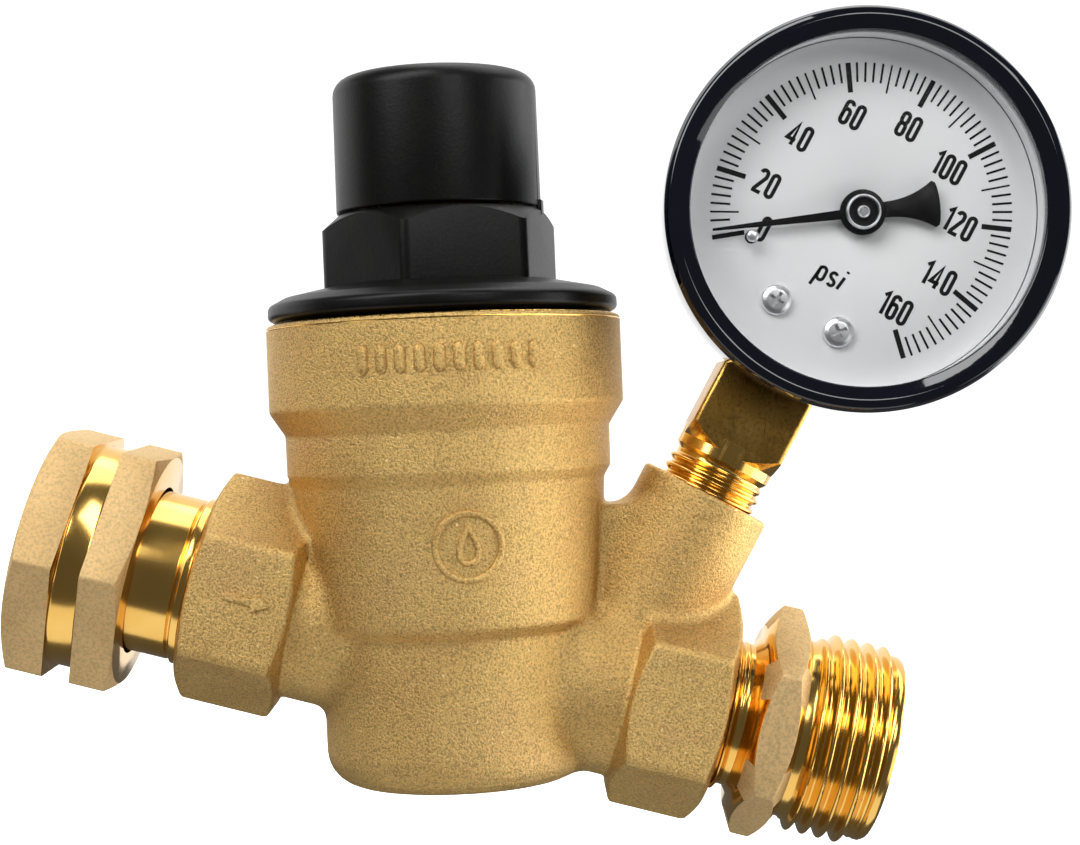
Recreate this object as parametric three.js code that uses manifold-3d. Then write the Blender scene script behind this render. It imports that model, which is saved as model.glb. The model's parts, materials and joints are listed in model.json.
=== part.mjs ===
// Piston-type water pressure regulator with a hose-thread inlet swivel, a hose-thread outlet and a
// pressure gauge. Millimetres, +Z up. The water runs along +X. The origin is on the pipe axis, on the
// sealing face of the inlet hose washer. Plain rings stand for screw threads.
import * as THREE from 'three';
import { mergeVertices } from 'three/addons/utils/BufferGeometryUtils.js';
import Module from 'manifold-3d';

const wasm = await Module();
wasm.setup();

// ---------- driving dimensions ----------
const degree = Math.PI / 180;
const gap = 0.3; // clearance between pieces that bear on each other

const bodyCentreX = 49.9; // bonnet axis crosses the pipe axis here
const bonnetTilt = -16.1 * degree; // bonnet axis leans towards the inlet
const portTilt = 14 * degree; // gauge axis leans towards the outlet
const portX = 20.7; // gauge axis crosses the pipe axis, from the body centre
const portEnd = 28.7; // end face of the gauge port, along the gauge axis
const gaugeHeight = 69.85; // dial centre above the pipe axis, along the gauge axis

const round = 28; // segments of a large outer circle
const medium = 18; // segments of an inner piece
const fine = 12; // segments of a small circle

// heights along the bonnet axis, from the pipe axis
const bodyBottom = -17.6;
const barrelStep = 4.3;
const neckStep = 22.3;
const headBottom = 32.6;
const headTop = 43.5;
const bonnetFloor = 31.5;
const chamberFloor = 10;
const hexBottom = 48;
const hexTop = 57.8;
const springRoof = 54; // ceiling of the spring chamber
const bushTop = 68.5;
const capTop = 76.2;

// radii about the bonnet axis
const lowerRadius = 17.75;
const barrelBottomRadius = 19.55;
const barrelTopRadius = 20.7;
const neckRadius = 21.6;
const headRadius = 23.65;
const pistonBore = 17;
const bonnetBore = 20.4;
const cartridgeBore = 9.5;
const springBore = 12.4;
const capRadius = 13.7;
const capBore = 11.8;
const bushRadius = 10.8;
const spigotRadius = 9;
const screwBore = 5.3;

// pipe run, along X from the body centre
const nutStart = -57.3;
const nutEnd = -42.5;
const nutFlats = 31;
const nutTurn = 33 * degree;
const bossFlats = 27.2;
const inletBossStart = -35.2;
const inletBossEnd = -21.4;
const outletBossStart = 23.4;
const outletBossEnd = 36.2;
const stubRadius = 12.1;
const hoseThreadRadius = 13.45; // 3/4 inch garden hose thread, 26.9 mm outside
const hoseThreadPitch = 2.209; // 11.5 threads per inch
const pipeThreadRadius = 10.5; // G 1/2
const outletEnd = 58.3;

// valve
const seatLip = 1.6; // height of the seat along the bonnet axis
const valveLift = 2;

// gauge, in the dial's own frame: x right, y up the dial, z out of the dial
const caseRadius = 24.3;
const caseWall = 0.9;
const caseBack = -10;
const caseFront = 11.5;
const bezelRadius = 25.8;
const windowRadius = 22.85;
const bezelFront = 17.2;
const lensBack = 13.5;
const dialFront = 10.2;
const pointerRadius = 19.4;
const pointerRest = 124.4 * degree; // anticlockwise from the top of the dial
const screwHoleRadius = 1.1;
const dialScrewX = 4.5;
const dialScrewY = -15;
const gearModule = 0.22;
const pinionTeeth = 10;
const sectorTeeth = 80; // teeth of the full circle of the sector
const sectorPivotX = 1.3;
const sectorTail = 5;
const tubeRadius = 17.6;

// ---------- solid helpers ----------
function signedVolume(positions, triangles) {
  const a = new THREE.Vector3();
  const b = new THREE.Vector3();
  const c = new THREE.Vector3();
  let volume = 0;
  for (let i = 0; i < triangles.length; i += 3) {
    a.fromArray(positions, triangles[i] * 3);
    b.fromArray(positions, triangles[i + 1] * 3);
    c.fromArray(positions, triangles[i + 2] * 3);
    volume += a.dot(b.cross(c)) / 6;
  }
  return volume;
}

function toSolid(geometry) {
  const bare = geometry.clone();
  bare.deleteAttribute('normal');
  bare.deleteAttribute('uv');
  const merged = mergeVertices(bare, 1e-4);
  const vertProperties = new Float32Array(merged.attributes.position.array);
  const kept = [];
  for (let i = 0; i < merged.index.count; i += 3) {
    const [p, q, r] = [merged.index.getX(i), merged.index.getX(i + 1), merged.index.getX(i + 2)];
    if (p !== q && q !== r && r !== p) kept.push(p, q, r);
  }
  if (signedVolume(vertProperties, kept) < 0) kept.reverse();
  const triVerts = new Uint32Array(kept);
  return new wasm.Manifold(new wasm.Mesh({ numProp: 3, vertProperties, triVerts }));
}

function toGeometry(solid) {
  const { vertProperties, triVerts } = solid.getMesh();
  const geometry = new THREE.BufferGeometry();
  geometry.setAttribute('position', new THREE.BufferAttribute(new Float32Array(vertProperties), 3));
  geometry.setIndex(new THREE.BufferAttribute(new Uint32Array(triVerts), 1));
  geometry.computeVertexNormals();
  return geometry;
}

const join = (first, ...others) =>
  toGeometry(others.reduce((solid, other) => solid.add(toSolid(other)), toSolid(first)));
const cut = (first, ...others) =>
  toGeometry(others.reduce((solid, other) => solid.subtract(toSolid(other)), toSolid(first)));
const common = (first, other) => toGeometry(toSolid(first).intersect(toSolid(other)));

// A profile of [radius, height] pairs turned about Z. One that doesn't touch the axis closes on itself.
function revolve(profile, segments = round) {
  const points = profile.map(([radius, height]) => new THREE.Vector2(radius, height));
  if (points[0].x > 0) points.push(points[0].clone());
  return new THREE.LatheGeometry(points, segments).rotateX(Math.PI / 2);
}

const cylinder = (radius, low, high, segments = round) =>
  revolve([[0, low], [radius, low], [radius, high], [0, high]], segments);
const ring = (inner, outer, low, high, segments = round) =>
  revolve([[inner, low], [outer, low], [outer, high], [inner, high]], segments);

function torus(radius, section, height, segments = medium) {
  const profile = [];
  for (let step = 0; step < 6; step++) {
    const angle = step * Math.PI / 3;
    profile.push([radius + section * Math.cos(angle), height + section * Math.sin(angle)]);
  }
  return revolve(profile, segments);
}

function extrude(points, low, high) {
  const shape = new THREE.Shape(points.map(([x, y]) => new THREE.Vector2(x, y)));
  const options = { depth: high - low, bevelEnabled: false };
  return new THREE.ExtrudeGeometry(shape, options).translate(0, 0, low);
}

function box(lowCorner, highCorner) {
  const size = highCorner.map((high, axis) => high - lowCorner[axis]);
  const centre = highCorner.map((high, axis) => (high + lowCorner[axis]) / 2);
  return new THREE.BoxGeometry(...size).translate(...centre);
}

function hexagon(flats, cornerRadius, turn = 0) {
  const centreRadius = (flats / 2 - cornerRadius) / Math.cos(30 * degree);
  const points = [];
  for (let corner = 0; corner < 6; corner++) {
    const direction = turn + corner * 60 * degree;
    for (const lean of [-30, 30]) {
      const around = direction + lean * degree;
      points.push([
        centreRadius * Math.cos(direction) + cornerRadius * Math.cos(around),
        centreRadius * Math.sin(direction) + cornerRadius * Math.sin(around),
      ]);
    }
  }
  return points;
}

// A hexagonal prism whose corners are turned down by a cone at each end.
function hexPrism(flats, low, high, { cornerRadius = 1, turn = 0, lowChamfer, highChamfer, endRadius: end }) {
  const outer = flats / 2 / Math.cos(30 * degree);
  const turned = revolve([
    [0, low], [end, low], [outer, low + lowChamfer], [outer, high - highChamfer], [end, high], [0, high],
  ]);
  return common(extrude(hexagon(flats, cornerRadius, turn), low, high), turned);
}

const alongPipe = (geometry) => geometry.rotateY(Math.PI / 2);
const alongBonnet = (geometry) => geometry.rotateY(bonnetTilt);
const alongPort = (geometry) => geometry.rotateY(portTilt).translate(portX, 0, 0);

// ---------- materials ----------
const paint = (color, roughness, metalness) =>
  () => new THREE.MeshStandardMaterial({ color, roughness, metalness });
const castBrass = paint(0xbe965a, 0.55, 0.9);
const turnedBrass = paint(0xd9a441, 0.2, 1);
const tumbledBrass = paint(0xc8b482, 0.5, 0.9);
const bronze = paint(0xa8743a, 0.35, 1);
const steel = paint(0xb8bcc0, 0.3, 1);
const blackPlastic = paint(0x141414, 0.45, 0);
const blackEnamel = paint(0x08090c, 0.15, 0.1);
const rubber = paint(0x1c1c1e, 0.8, 0);
const whiteRubber = paint(0xdcdedf, 0.6, 0);
const polishedSteel = paint(0xdcdee2, 0.12, 1);
const whiteEnamel = paint(0xe4e5e6, 0.5, 0);
const clear = () => new THREE.MeshStandardMaterial({
  color: 0xe8f0f2, roughness: 0.05, transparent: true, opacity: 0.3,
});

// ---------- groups ----------
const part = new THREE.Group();
const assembly = new THREE.Group();
assembly.position.x = bodyCentreX;
part.add(assembly);

const pipe = new THREE.Group();
pipe.rotation.y = Math.PI / 2;
const bonnetAxis = new THREE.Group();
bonnetAxis.rotation.y = bonnetTilt;
const portAxis = new THREE.Group();
portAxis.rotation.y = portTilt;
portAxis.position.x = portX;
assembly.add(pipe, bonnetAxis, portAxis);

const dial = new THREE.Group();
dial.rotation.x = Math.PI / 2;
dial.position.z = gaugeHeight;
portAxis.add(dial);

function place(group, name, geometry, material) {
  const mesh = new THREE.Mesh(toGeometry(toSolid(geometry)), material());
  mesh.name = name;
  group.add(mesh);
}

// ---------- cast body ----------
function bodyOutside() {
  const edge = 4; // radius of the bottom edge
  const bottom = [];
  for (let step = 0; step <= 3; step++) {
    const angle = -90 * degree + step * 30 * degree;
    bottom.push([lowerRadius - edge + edge * Math.cos(angle), bodyBottom + edge + edge * Math.sin(angle)]);
  }
  const barrel = alongBonnet(revolve([
    [0, bodyBottom], ...bottom,
    [lowerRadius, 2.2], [barrelBottomRadius, barrelStep],
    [barrelTopRadius, neckStep], [neckRadius, neckStep + 2.3],
    [neckRadius, 28.7], [22.3, 30.3], [headRadius, headBottom],
    [headRadius, headTop - 0.8], [headRadius - 0.7, headTop], [0, headTop],
  ]));
  const inletBoss = alongPipe(hexPrism(bossFlats, inletBossStart, inletBossEnd, {
    cornerRadius: 1, lowChamfer: 0.8, highChamfer: 1.2, endRadius: 12.9,
  }));
  const outletBoss = alongPipe(hexPrism(bossFlats, outletBossStart, outletBossEnd, {
    cornerRadius: 1, lowChamfer: 1.4, highChamfer: 1.2, endRadius: 12.8,
  }));
  const inletStub = alongPipe(cylinder(stubRadius, inletBossEnd - 3, -6));
  const outletStub = alongPipe(cylinder(stubRadius, 6, outletBossStart + 3));
  const gaugeBoss = alongPort(cylinder(9, 2, portEnd));
  const web = extrude([[11, 2], [24, 2], [26, 16], [19.5, 25], [13, 23.5]], -6.5, 6.5).rotateX(Math.PI / 2);
  return join(barrel, inletBoss, outletBoss, inletStub, outletStub, gaugeBoss, web);
}

function slantedPassage(from, to, radius) {
  const [fromX, fromZ] = from;
  const [toX, toZ] = to;
  const length = Math.hypot(toX - fromX, toZ - fromZ);
  const lean = Math.atan2(toX - fromX, toZ - fromZ);
  return cylinder(radius, 0, length, fine).rotateY(lean).translate(fromX, 0, fromZ);
}

function regulatorBody() {
  const bores = alongBonnet(revolve([
    [0, bodyBottom + 4], [cartridgeBore, bodyBottom + 4], [cartridgeBore, chamberFloor],
    [pistonBore, chamberFloor], [pistonBore, bonnetFloor - 0.5], [bonnetBore, bonnetFloor - 0.5],
    [bonnetBore, headTop + 1], [0, headTop + 1],
  ]));
  const inletBore = alongPipe(cylinder(9.7, inletBossStart - 1, -26, medium));
  const inletPassage = slantedPassage([-29, 0], [-5, -7], 5);
  const outletBore = alongPipe(cylinder(pipeThreadRadius + gap, 26, outletBossEnd + 1));
  const outletPassage = alongPipe(cylinder(7, 18.5, 28, fine));
  const risingPassage = slantedPassage([9.1, 16.6], [22, 2], 4.5);
  const gaugeBore = alongPort(cylinder(7, 20, portEnd + 1, fine));
  const gaugePassage = alongPort(cylinder(2.5, 0, 21, fine));
  return cut(
    bodyOutside(), bores, inletBore, inletPassage, outletBore, outletPassage,
    risingPassage, gaugeBore, gaugePassage,
  );
}
place(assembly, 'regulator_body', regulatorBody(), castBrass);

// flow arrow cast on the front flat of the inlet boss
function flowArrow() {
  const arrow = [[-3.2, -0.4], [0.8, -0.4], [0.8, -1.3], [3.2, 0], [0.8, 1.3], [0.8, 0.4], [-3.2, 0.4]];
  const front = bossFlats / 2;
  return extrude(arrow, front + 0.15, front + 0.6).rotateX(Math.PI / 2).translate(-27.3, 0, 0.6);
}
place(assembly, 'flow_arrow', flowArrow(), castBrass);

// ---------- inlet ----------
function swivelNut() {
  const hexagonal = hexPrism(nutFlats, nutStart, nutEnd, {
    turn: nutTurn, lowChamfer: 1, highChamfer: 0.8, endRadius: nutFlats / 2,
  });
  const groove = ring(nutFlats / 2 - 0.5, nutFlats, nutStart + 5.8, nutStart + 9.5);
  const socket = revolve([
    [0, nutStart - 1], [hoseThreadRadius + 1.2, nutStart - 1], [hoseThreadRadius + 0.2, nutStart + 0.8],
    [hoseThreadRadius + 0.2, nutEnd - 2.4], [11.4, nutEnd - 2.4], [11.4, nutEnd + 1], [0, nutEnd + 1],
  ]);
  return cut(hexagonal, groove, socket);
}
place(pipe, 'inlet_swivel_nut', swivelNut(), tumbledBrass);

const washerFront = -bodyCentreX;
place(pipe, 'inlet_hose_washer', ring(8.2, 12.3, washerFront, washerFront + 2.6, medium), rubber);

// mesh strainer, a thin dish whose bowl reaches into the tailpiece
place(pipe, 'inlet_strainer', revolve([
  [0, -44.2], [4, -44.8], [6.3, -46.6], [6.9, -48.5], [7.8, -48.5], [7.8, -49.2],
  [6.4, -49.2], [5.8, -46.9], [3.7, -45.3], [0, -44.8],
], fine), steel);

place(pipe, 'inlet_tailpiece', revolve([
  [7.5, -47], [12.4, -47], [12.4, -45.2], [10.9, -45.2], [10.9, -36.7], [11.3, -36.5],
  [11.3, inletBossStart - gap], [9.2, inletBossStart - gap], [9.2, -26.4], [7.5, -26.4],
]), turnedBrass);

// ---------- outlet ----------
function threadRings(firstCrest, crests, pitch, crestRadius, depth) {
  const profile = [];
  for (let turn = 0; turn < crests; turn++) {
    const crest = firstCrest + turn * pitch;
    profile.push([crestRadius - depth, crest - pitch * 0.4], [crestRadius, crest - pitch * 0.15]);
    profile.push([crestRadius, crest + pitch * 0.15], [crestRadius - depth, crest + pitch * 0.4]);
  }
  return profile;
}

function outletAdapter() {
  const turned = revolve([
    [8.5, 26.5], [pipeThreadRadius - 0.4, 26.5], [pipeThreadRadius, 27.2], [pipeThreadRadius, 40],
    [11.9, 40], [11.9, 47.2],
    ...threadRings(48.6, 4, hoseThreadPitch, hoseThreadRadius, 1.1),
    [12.5, 56.6], [12.5, outletEnd - 0.4], [12.1, outletEnd], [8.5, outletEnd],
  ]);
  const flange = cut(
    hexPrism(27.4, 39.7, 45.8, { lowChamfer: 1.9, highChamfer: 1.9, endRadius: 12.4 }),
    cylinder(9.5, 39, 47),
  );
  return join(turned, flange);
}
place(pipe, 'outlet_adapter', outletAdapter(), turnedBrass);

// ---------- valve, about the bonnet axis ----------
function seatCartridge() {
  const sleeve = revolve([
    [7.2, bodyBottom + 4 + gap], [cartridgeBore - gap, bodyBottom + 4 + gap], [cartridgeBore - gap, 5],
    [7.6, 5], [7.6, 7.4], [cartridgeBore - gap, 7.4], [cartridgeBore - gap, chamberFloor - gap],
    [6.4, chamberFloor - gap], [6.4, 6], [4.2, 4], [4.2, seatLip], [5.2, seatLip], [5.6, seatLip + 0.8],
    [7.2, seatLip + 0.8],
  ], medium);
  const windows = [];
  for (let turn = 0; turn < 2; turn++) {
    windows.push(box([-12, -3.6, -9.6], [12, 3.6, -1.6]).rotateZ(turn * 90 * degree));
  }
  return cut(sleeve, ...windows);
}
place(bonnetAxis, 'seat_cartridge', seatCartridge(), turnedBrass);
place(bonnetAxis, 'cartridge_oring', torus(8.55, 0.75, 6.2), rubber);

const sealTop = seatLip - valveLift - 0.1;
place(bonnetAxis, 'valve_stem', revolve([
  [0, -8.8], [1.4, -8.8], [1.4, 12.8], [3, 12.8], [3, 14], [1.4, 14], [1.4, 27.6], [0, 27.6],
], fine), steel);
place(bonnetAxis, 'valve_seal', ring(1.7, 5.3, sealTop - 1.6, sealTop, fine), rubber);
place(bonnetAxis, 'valve_disc', revolve([
  [1.7, sealTop - 5], [4, sealTop - 5], [6.3, sealTop - 3.4], [6.3, sealTop - 0.7],
  [5.6, sealTop - 0.7], [5.6, sealTop - 1.9], [1.7, sealTop - 1.9],
], fine), turnedBrass);
place(bonnetAxis, 'valve_nut', cut(
  extrude(hexagon(5.5, 0.3), sealTop - 7.6, sealTop - 5.3), cylinder(1.7, -12, 0, fine)), steel);

place(bonnetAxis, 'piston', revolve([
  [1.7, 14.3], [pistonBore - 0.6, 14.3], [pistonBore - 0.6, 16.7], [14.1, 16.7], [14.1, 19.5],
  [pistonBore - 0.6, 19.5], [pistonBore - 0.6, 21.5], [pistonBore - 1.1, 22], [7.6, 22],
  [7.6, 24.6], [1.7, 24.6],
], medium), turnedBrass);
place(bonnetAxis, 'piston_oring', torus(15.6, 1.15, 18.1), rubber);
place(bonnetAxis, 'piston_nut', cut(
  extrude(hexagon(7, 0.4), 24.9, 27), cylinder(1.7, 24, 28, fine)), steel);

// ---------- spring and adjustment ----------
const springRadius = 9.7;
const springWire = 1.4;
const springLow = 22 + gap + springWire;
const springHigh = 46 - gap - springWire;
const springTurns = 6;

class SpringPath extends THREE.Curve {
  getPoint(t, target = new THREE.Vector3()) {
    const angle = t * springTurns * 2 * Math.PI;
    const height = springLow + t * (springHigh - springLow);
    return target.set(springRadius * Math.cos(angle), springRadius * Math.sin(angle), height);
  }
}

function rangeSpring() {
  const section = [];
  for (let step = 0; step < 6; step++) {
    const angle = step * 60 * degree;
    section.push(new THREE.Vector2(springWire * Math.cos(angle), springWire * Math.sin(angle)));
  }
  const options = { steps: springTurns * 12, extrudePath: new SpringPath(), bevelEnabled: false };
  return new THREE.ExtrudeGeometry(new THREE.Shape(section), options);
}
place(bonnetAxis, 'range_spring', rangeSpring(), steel);

const seatTop = 48.5;
place(bonnetAxis, 'spring_seat', revolve([
  [0, 43.5], [7.6, 43.5], [7.9, 46], [springBore - 0.5, 46], [springBore - 0.5, seatTop], [0, seatTop],
], medium), steel);

function adjustingScrew() {
  const screw = revolve([
    [0, seatTop + gap], [3, seatTop + gap], [5, seatTop + 1.8], [5, 68.7], [4.4, 69.2], [0, 69.2],
  ], fine);
  return cut(screw, box([-6, -0.7, 67.2], [6, 0.7, 70]));
}
place(bonnetAxis, 'adjusting_screw', adjustingScrew(), turnedBrass);

function bonnet() {
  const turned = revolve([
    [springBore, bonnetFloor], [bonnetBore - 0.4, bonnetFloor], [bonnetBore - 0.4, headTop + 0.4],
    [22.3, headTop + 0.4], [23.1, headTop + 0.9], [23.35, headTop + 1.7], [23.1, headTop + 2.6],
    [22.2, headTop + 3.3], [19, headTop + 4.2], [15, headTop + 4.9], [13.8, headTop + 5],
    [13.8, hexTop - 2.6], [spigotRadius + gap, hexTop - 2.6], [spigotRadius + gap, springRoof],
    [springBore, springRoof],
  ]);
  const grip = cut(
    hexPrism(28, hexBottom - 1, hexTop, {
      cornerRadius: 1.5, turn: 16 * degree, lowChamfer: 0.1, highChamfer: 2.2, endRadius: 13.6,
    }),
    cylinder(springBore + 0.4, hexBottom - 2, springRoof + 0.4),
    cylinder(spigotRadius + gap, springRoof, hexTop + 1),
  );
  return join(turned, grip);
}
place(bonnetAxis, 'bonnet', bonnet(), blackPlastic);

// threaded bush moulded into the bonnet; the cap pushes over its collar and grips the bead
function screwBush() {
  const collarLow = hexTop + gap;
  return revolve([
    [screwBore, springRoof], [spigotRadius, springRoof], [spigotRadius, collarLow], [bushRadius, collarLow],
    [bushRadius, collarLow + 1.2], [bushRadius + 0.6, collarLow + 1.6], [bushRadius + 0.6, collarLow + 2.2],
    [bushRadius, collarLow + 2.6], [bushRadius, bushTop - 0.5], [bushRadius - 0.5, bushTop],
    [screwBore, bushTop],
  ]);
}
place(bonnetAxis, 'screw_bush', screwBush(), turnedBrass);

function adjustmentCap() {
  const edge = 2.3;
  const crown = [];
  for (let step = 0; step <= 3; step++) {
    const angle = step * 30 * degree;
    crown.push([capRadius - 0.1 - edge + edge * Math.cos(angle), capTop - edge + edge * Math.sin(angle)]);
  }
  return revolve([
    [0, 74.2], [capBore, 74.2], [capBore, hexTop + gap], [capRadius, hexTop + gap],
    ...crown, [0, capTop],
  ]);
}
place(bonnetAxis, 'adjustment_cap', adjustmentCap(), blackPlastic);

// ---------- gauge socket, about the gauge axis ----------
const blockFlats = 13;
const socketTop = gaugeHeight - 12.5;

function gaugeSocket() {
  const half = blockFlats / 2;
  const caseBottom = gaugeHeight - caseRadius;
  const threaded = revolve([[0, 20.6], [6.2, 20.6], [6.7, 21.5], [6.7, 34.8], [0, 34.8]], fine);
  const block = common(
    box([-half, -half, 34.4], [half, half, caseBottom - 0.4]),
    revolve([[0, 34.4], [6.6, 34.4], [9.3, 36.9], [9.3, 50], [0, 50]], fine),
  );
  const neck = box([-5.5, -4.5, caseBottom - 1], [5.5, 4.5, gaugeHeight - 18]);
  const shoulder = box([-6.8, -1.6, gaugeHeight - 18.5], [6.8, 4.5, socketTop]);
  const pressureHole = cylinder(1.5, 20, gaugeHeight - 15.5, fine);
  const screwHoles = [-1, 1].map((side) =>
    cylinder(screwHoleRadius, 1, 8, 12).rotateX(Math.PI / 2)
      .translate(side * dialScrewX, 4.6, gaugeHeight + dialScrewY));
  return cut(join(threaded, block, neck, shoulder), pressureHole, ...screwHoles);
}
place(portAxis, 'gauge_socket', gaugeSocket(), turnedBrass);

// ---------- gauge, in the dial's frame ----------
function gaugeCase() {
  const cup = revolve([
    [0, caseBack], [caseRadius - 1.5, caseBack], [caseRadius, caseBack + 1.5], [caseRadius, caseFront],
    [caseRadius - caseWall, caseFront], [caseRadius - caseWall, caseBack + 1.9],
    [caseRadius - caseWall - 1.2, caseBack + caseWall], [0, caseBack + caseWall],
  ]);
  return cut(cup, box([-5.8, -30, -4.8], [5.8, -15, 4.8]));
}
place(dial, 'gauge_case', gaugeCase(), polishedSteel);

place(dial, 'gauge_bezel', revolve([
  [windowRadius, 15], [windowRadius, 15.9], [windowRadius + 0.5, 16.7], [24, bezelFront],
  [25.1, 16.8], [bezelRadius, 15.6], [bezelRadius, 9], [bezelRadius - 0.4, 8.4], [24.6, 8.4], [24.6, 15],
]), blackEnamel);
place(dial, 'gauge_lens', cylinder(24.2, lensBack, lensBack + 1.2), clear);
place(dial, 'lens_gasket', ring(23.1, 24.2, caseFront + gap, lensBack - gap, medium), whiteRubber);

const aroundDial = (radius, angle) => [-radius * Math.sin(angle), radius * Math.cos(angle)];
const stopPin = aroundDial(14.5, 130 * degree);

function dialPlate() {
  const plate = cylinder(22.7, dialFront - 0.6, dialFront);
  const holes = [-1, 1].map((side) =>
    cylinder(screwHoleRadius, 0, 20, 12).translate(side * dialScrewX, dialScrewY, 0));
  const pinHole = cylinder(0.85, 0, 20, 12).translate(...stopPin, 0);
  return cut(plate, cylinder(2, 0, 20, fine), pinHole, ...holes);
}
place(dial, 'dial_plate', dialPlate(), whiteEnamel);
place(dial, 'pointer_stop_pin', cylinder(0.55, 9.2, 12.3, 12).translate(...stopPin, 0), steel);

for (const [name, side] of [['dial_screw_1', -1], ['dial_screw_2', 1]]) {
  const screw = revolve([
    [0, -1.8], [0.8, -1.8], [0.8, dialFront + gap], [2, dialFront + gap], [1.9, dialFront + 0.8],
    [1.3, dialFront + 1.1], [0, dialFront + 1.1],
  ], 16);
  place(dial, name, screw.translate(side * dialScrewX, dialScrewY, 0), polishedSteel);
}

// ---------- gauge movement ----------
const centreDistance = gearModule * (pinionTeeth + sectorTeeth) / 2;
const sectorPivotY = -Math.sqrt(centreDistance ** 2 - sectorPivotX ** 2);
const meshAngle = Math.atan2(-sectorPivotY, -sectorPivotX); // from the sector pivot to the pinion
const tailAngle = 160 * degree;
const tailPin = [
  sectorPivotX + sectorTail * Math.cos(tailAngle), sectorPivotY + sectorTail * Math.sin(tailAngle),
];
const tipPin = [-13.3, -7.2];
const plateOutline = [[-7.6, 5], [7.6, 5], [7.6, -17.2], [-7.6, -17.2]];

function movementPlate(low) {
  const plate = extrude(plateOutline, low, low + 1);
  const arborHole = cylinder(1, low - 1, low + 2, 12);
  const sectorHole = cylinder(1.1, low - 1, low + 2, 12).translate(sectorPivotX, sectorPivotY, 0);
  const holes = [-1, 1].map((side) =>
    cylinder(screwHoleRadius, low - 1, low + 2, 12).translate(side * dialScrewX, dialScrewY, 0));
  return cut(plate, arborHole, sectorHole, ...holes);
}
place(dial, 'movement_back_plate', movementPlate(2), turnedBrass);
place(dial, 'movement_front_plate', movementPlate(7.6), turnedBrass);

for (const [name, side] of [['movement_pillar_1', -1], ['movement_pillar_2', 1]]) {
  place(dial, name, cylinder(1.2, 3.3, 7.3, 12).translate(side * 6.2, 3.4, 0), turnedBrass);
}
for (const [name, side] of [['screw_spacer_1', -1], ['screw_spacer_2', 1]]) {
  place(dial, name, ring(1.1, 2, 3.3, 7.3, 12).translate(side * dialScrewX, dialScrewY, 0), turnedBrass);
}

// teeth as [radius, angle] steps: root, flank, tip, flank, root
function toothOutline(count, teeth, rootRadius, tipRadius, firstAngle, rootShare, tipShare) {
  const pitch = 2 * Math.PI / count;
  const points = [];
  for (let tooth = 0; tooth < teeth; tooth++) {
    const middle = firstAngle + tooth * pitch;
    for (const [radius, share] of [
      [rootRadius, -rootShare], [tipRadius, -tipShare], [tipRadius, tipShare], [rootRadius, rootShare],
    ]) {
      const angle = middle + share * pitch;
      points.push([radius * Math.cos(angle), radius * Math.sin(angle)]);
    }
  }
  return points;
}

function pinion() {
  const pitchRadius = gearModule * pinionTeeth / 2;
  const teeth = toothOutline(
    pinionTeeth, pinionTeeth, pitchRadius - 0.27, pitchRadius + 0.17, meshAngle + Math.PI, 0.25, 0.07);
  const arbor = revolve([
    [0, 0.8], [0.4, 0.8], [0.7, 1.2], [0.7, 11], [0.6, 12.5], [0, 12.5],
  ], 12);
  return join(extrude(teeth, 4.7, 6.3), arbor);
}
place(dial, 'pinion_arbor', pinion(), steel);

function sectorGear() {
  const pitchRadius = gearModule * sectorTeeth / 2;
  const pitch = 2 * Math.PI / sectorTeeth;
  const teeth = 11;
  const toothAngle = meshAngle + 1.5 * pitch;
  const toothed = toothOutline(
    sectorTeeth, teeth, pitchRadius - 0.27, pitchRadius + 0.17,
    toothAngle - (teeth - 1) * pitch, 0.24, 0.08);
  const plate = extrude([[1.2, -0.8], ...toothed, [-1.2, -0.2]], 5, 6);
  const hub = revolve([
    [0, 0.9], [0.8, 0.9], [0.8, 4.2], [1.6, 4.2], [1.6, 6.2], [0.8, 6.2], [0.8, 9.2], [0, 9.2],
  ], 12);
  const tail = box([0, -0.8, 5], [sectorTail, 0.8, 6]).rotateZ(tailAngle);
  const tailEnd = cylinder(0.9, 5, 6, 12).translate(tailPin[0] - sectorPivotX, tailPin[1] - sectorPivotY, 0);
  const pin = cylinder(0.4, 5.5, 7.3, 12).translate(tailPin[0] - sectorPivotX, tailPin[1] - sectorPivotY, 0);
  return join(plate, hub, tail, tailEnd, pin).translate(sectorPivotX, sectorPivotY, 0);
}
place(dial, 'sector_gear', sectorGear(), turnedBrass);

function connectingLink() {
  const [fromX, fromY] = tailPin;
  const [toX, toY] = tipPin;
  const length = Math.hypot(toX - fromX, toY - fromY);
  const lean = Math.atan2(toY - fromY, toX - fromX);
  const strip = box([0, -0.7, 6.4], [length, 0.7, 7]);
  const ends = [0, length].map((x) => cylinder(1.2, 6.4, 7, 16).translate(x, 0, 0));
  const holes = [0, length].map((x) => cylinder(0.75, 6, 8, 12).translate(x, 0, 0));
  return cut(join(strip, ...ends), ...holes).rotateZ(lean).translate(fromX, fromY, 0);
}
place(dial, 'connecting_link', connectingLink(), turnedBrass);

const tubeStart = -61 * degree;
const tubeEnd = 203 * degree;

class TubePath extends THREE.Curve {
  getPoint(t, target = new THREE.Vector3()) {
    const angle = tubeStart + t * (tubeEnd - tubeStart);
    return target.set(tubeRadius * Math.cos(angle), tubeRadius * Math.sin(angle), 0);
  }
}

function bourdonTube() {
  const section = new THREE.Shape();
  section.absellipse(0, 0, 3.4, 1, 0, 2 * Math.PI);
  const options = { steps: 22, curveSegments: 5, extrudePath: new TubePath(), bevelEnabled: false };
  return new THREE.ExtrudeGeometry(section, options);
}
place(dial, 'bourdon_tube', bourdonTube(), bronze);

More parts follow.
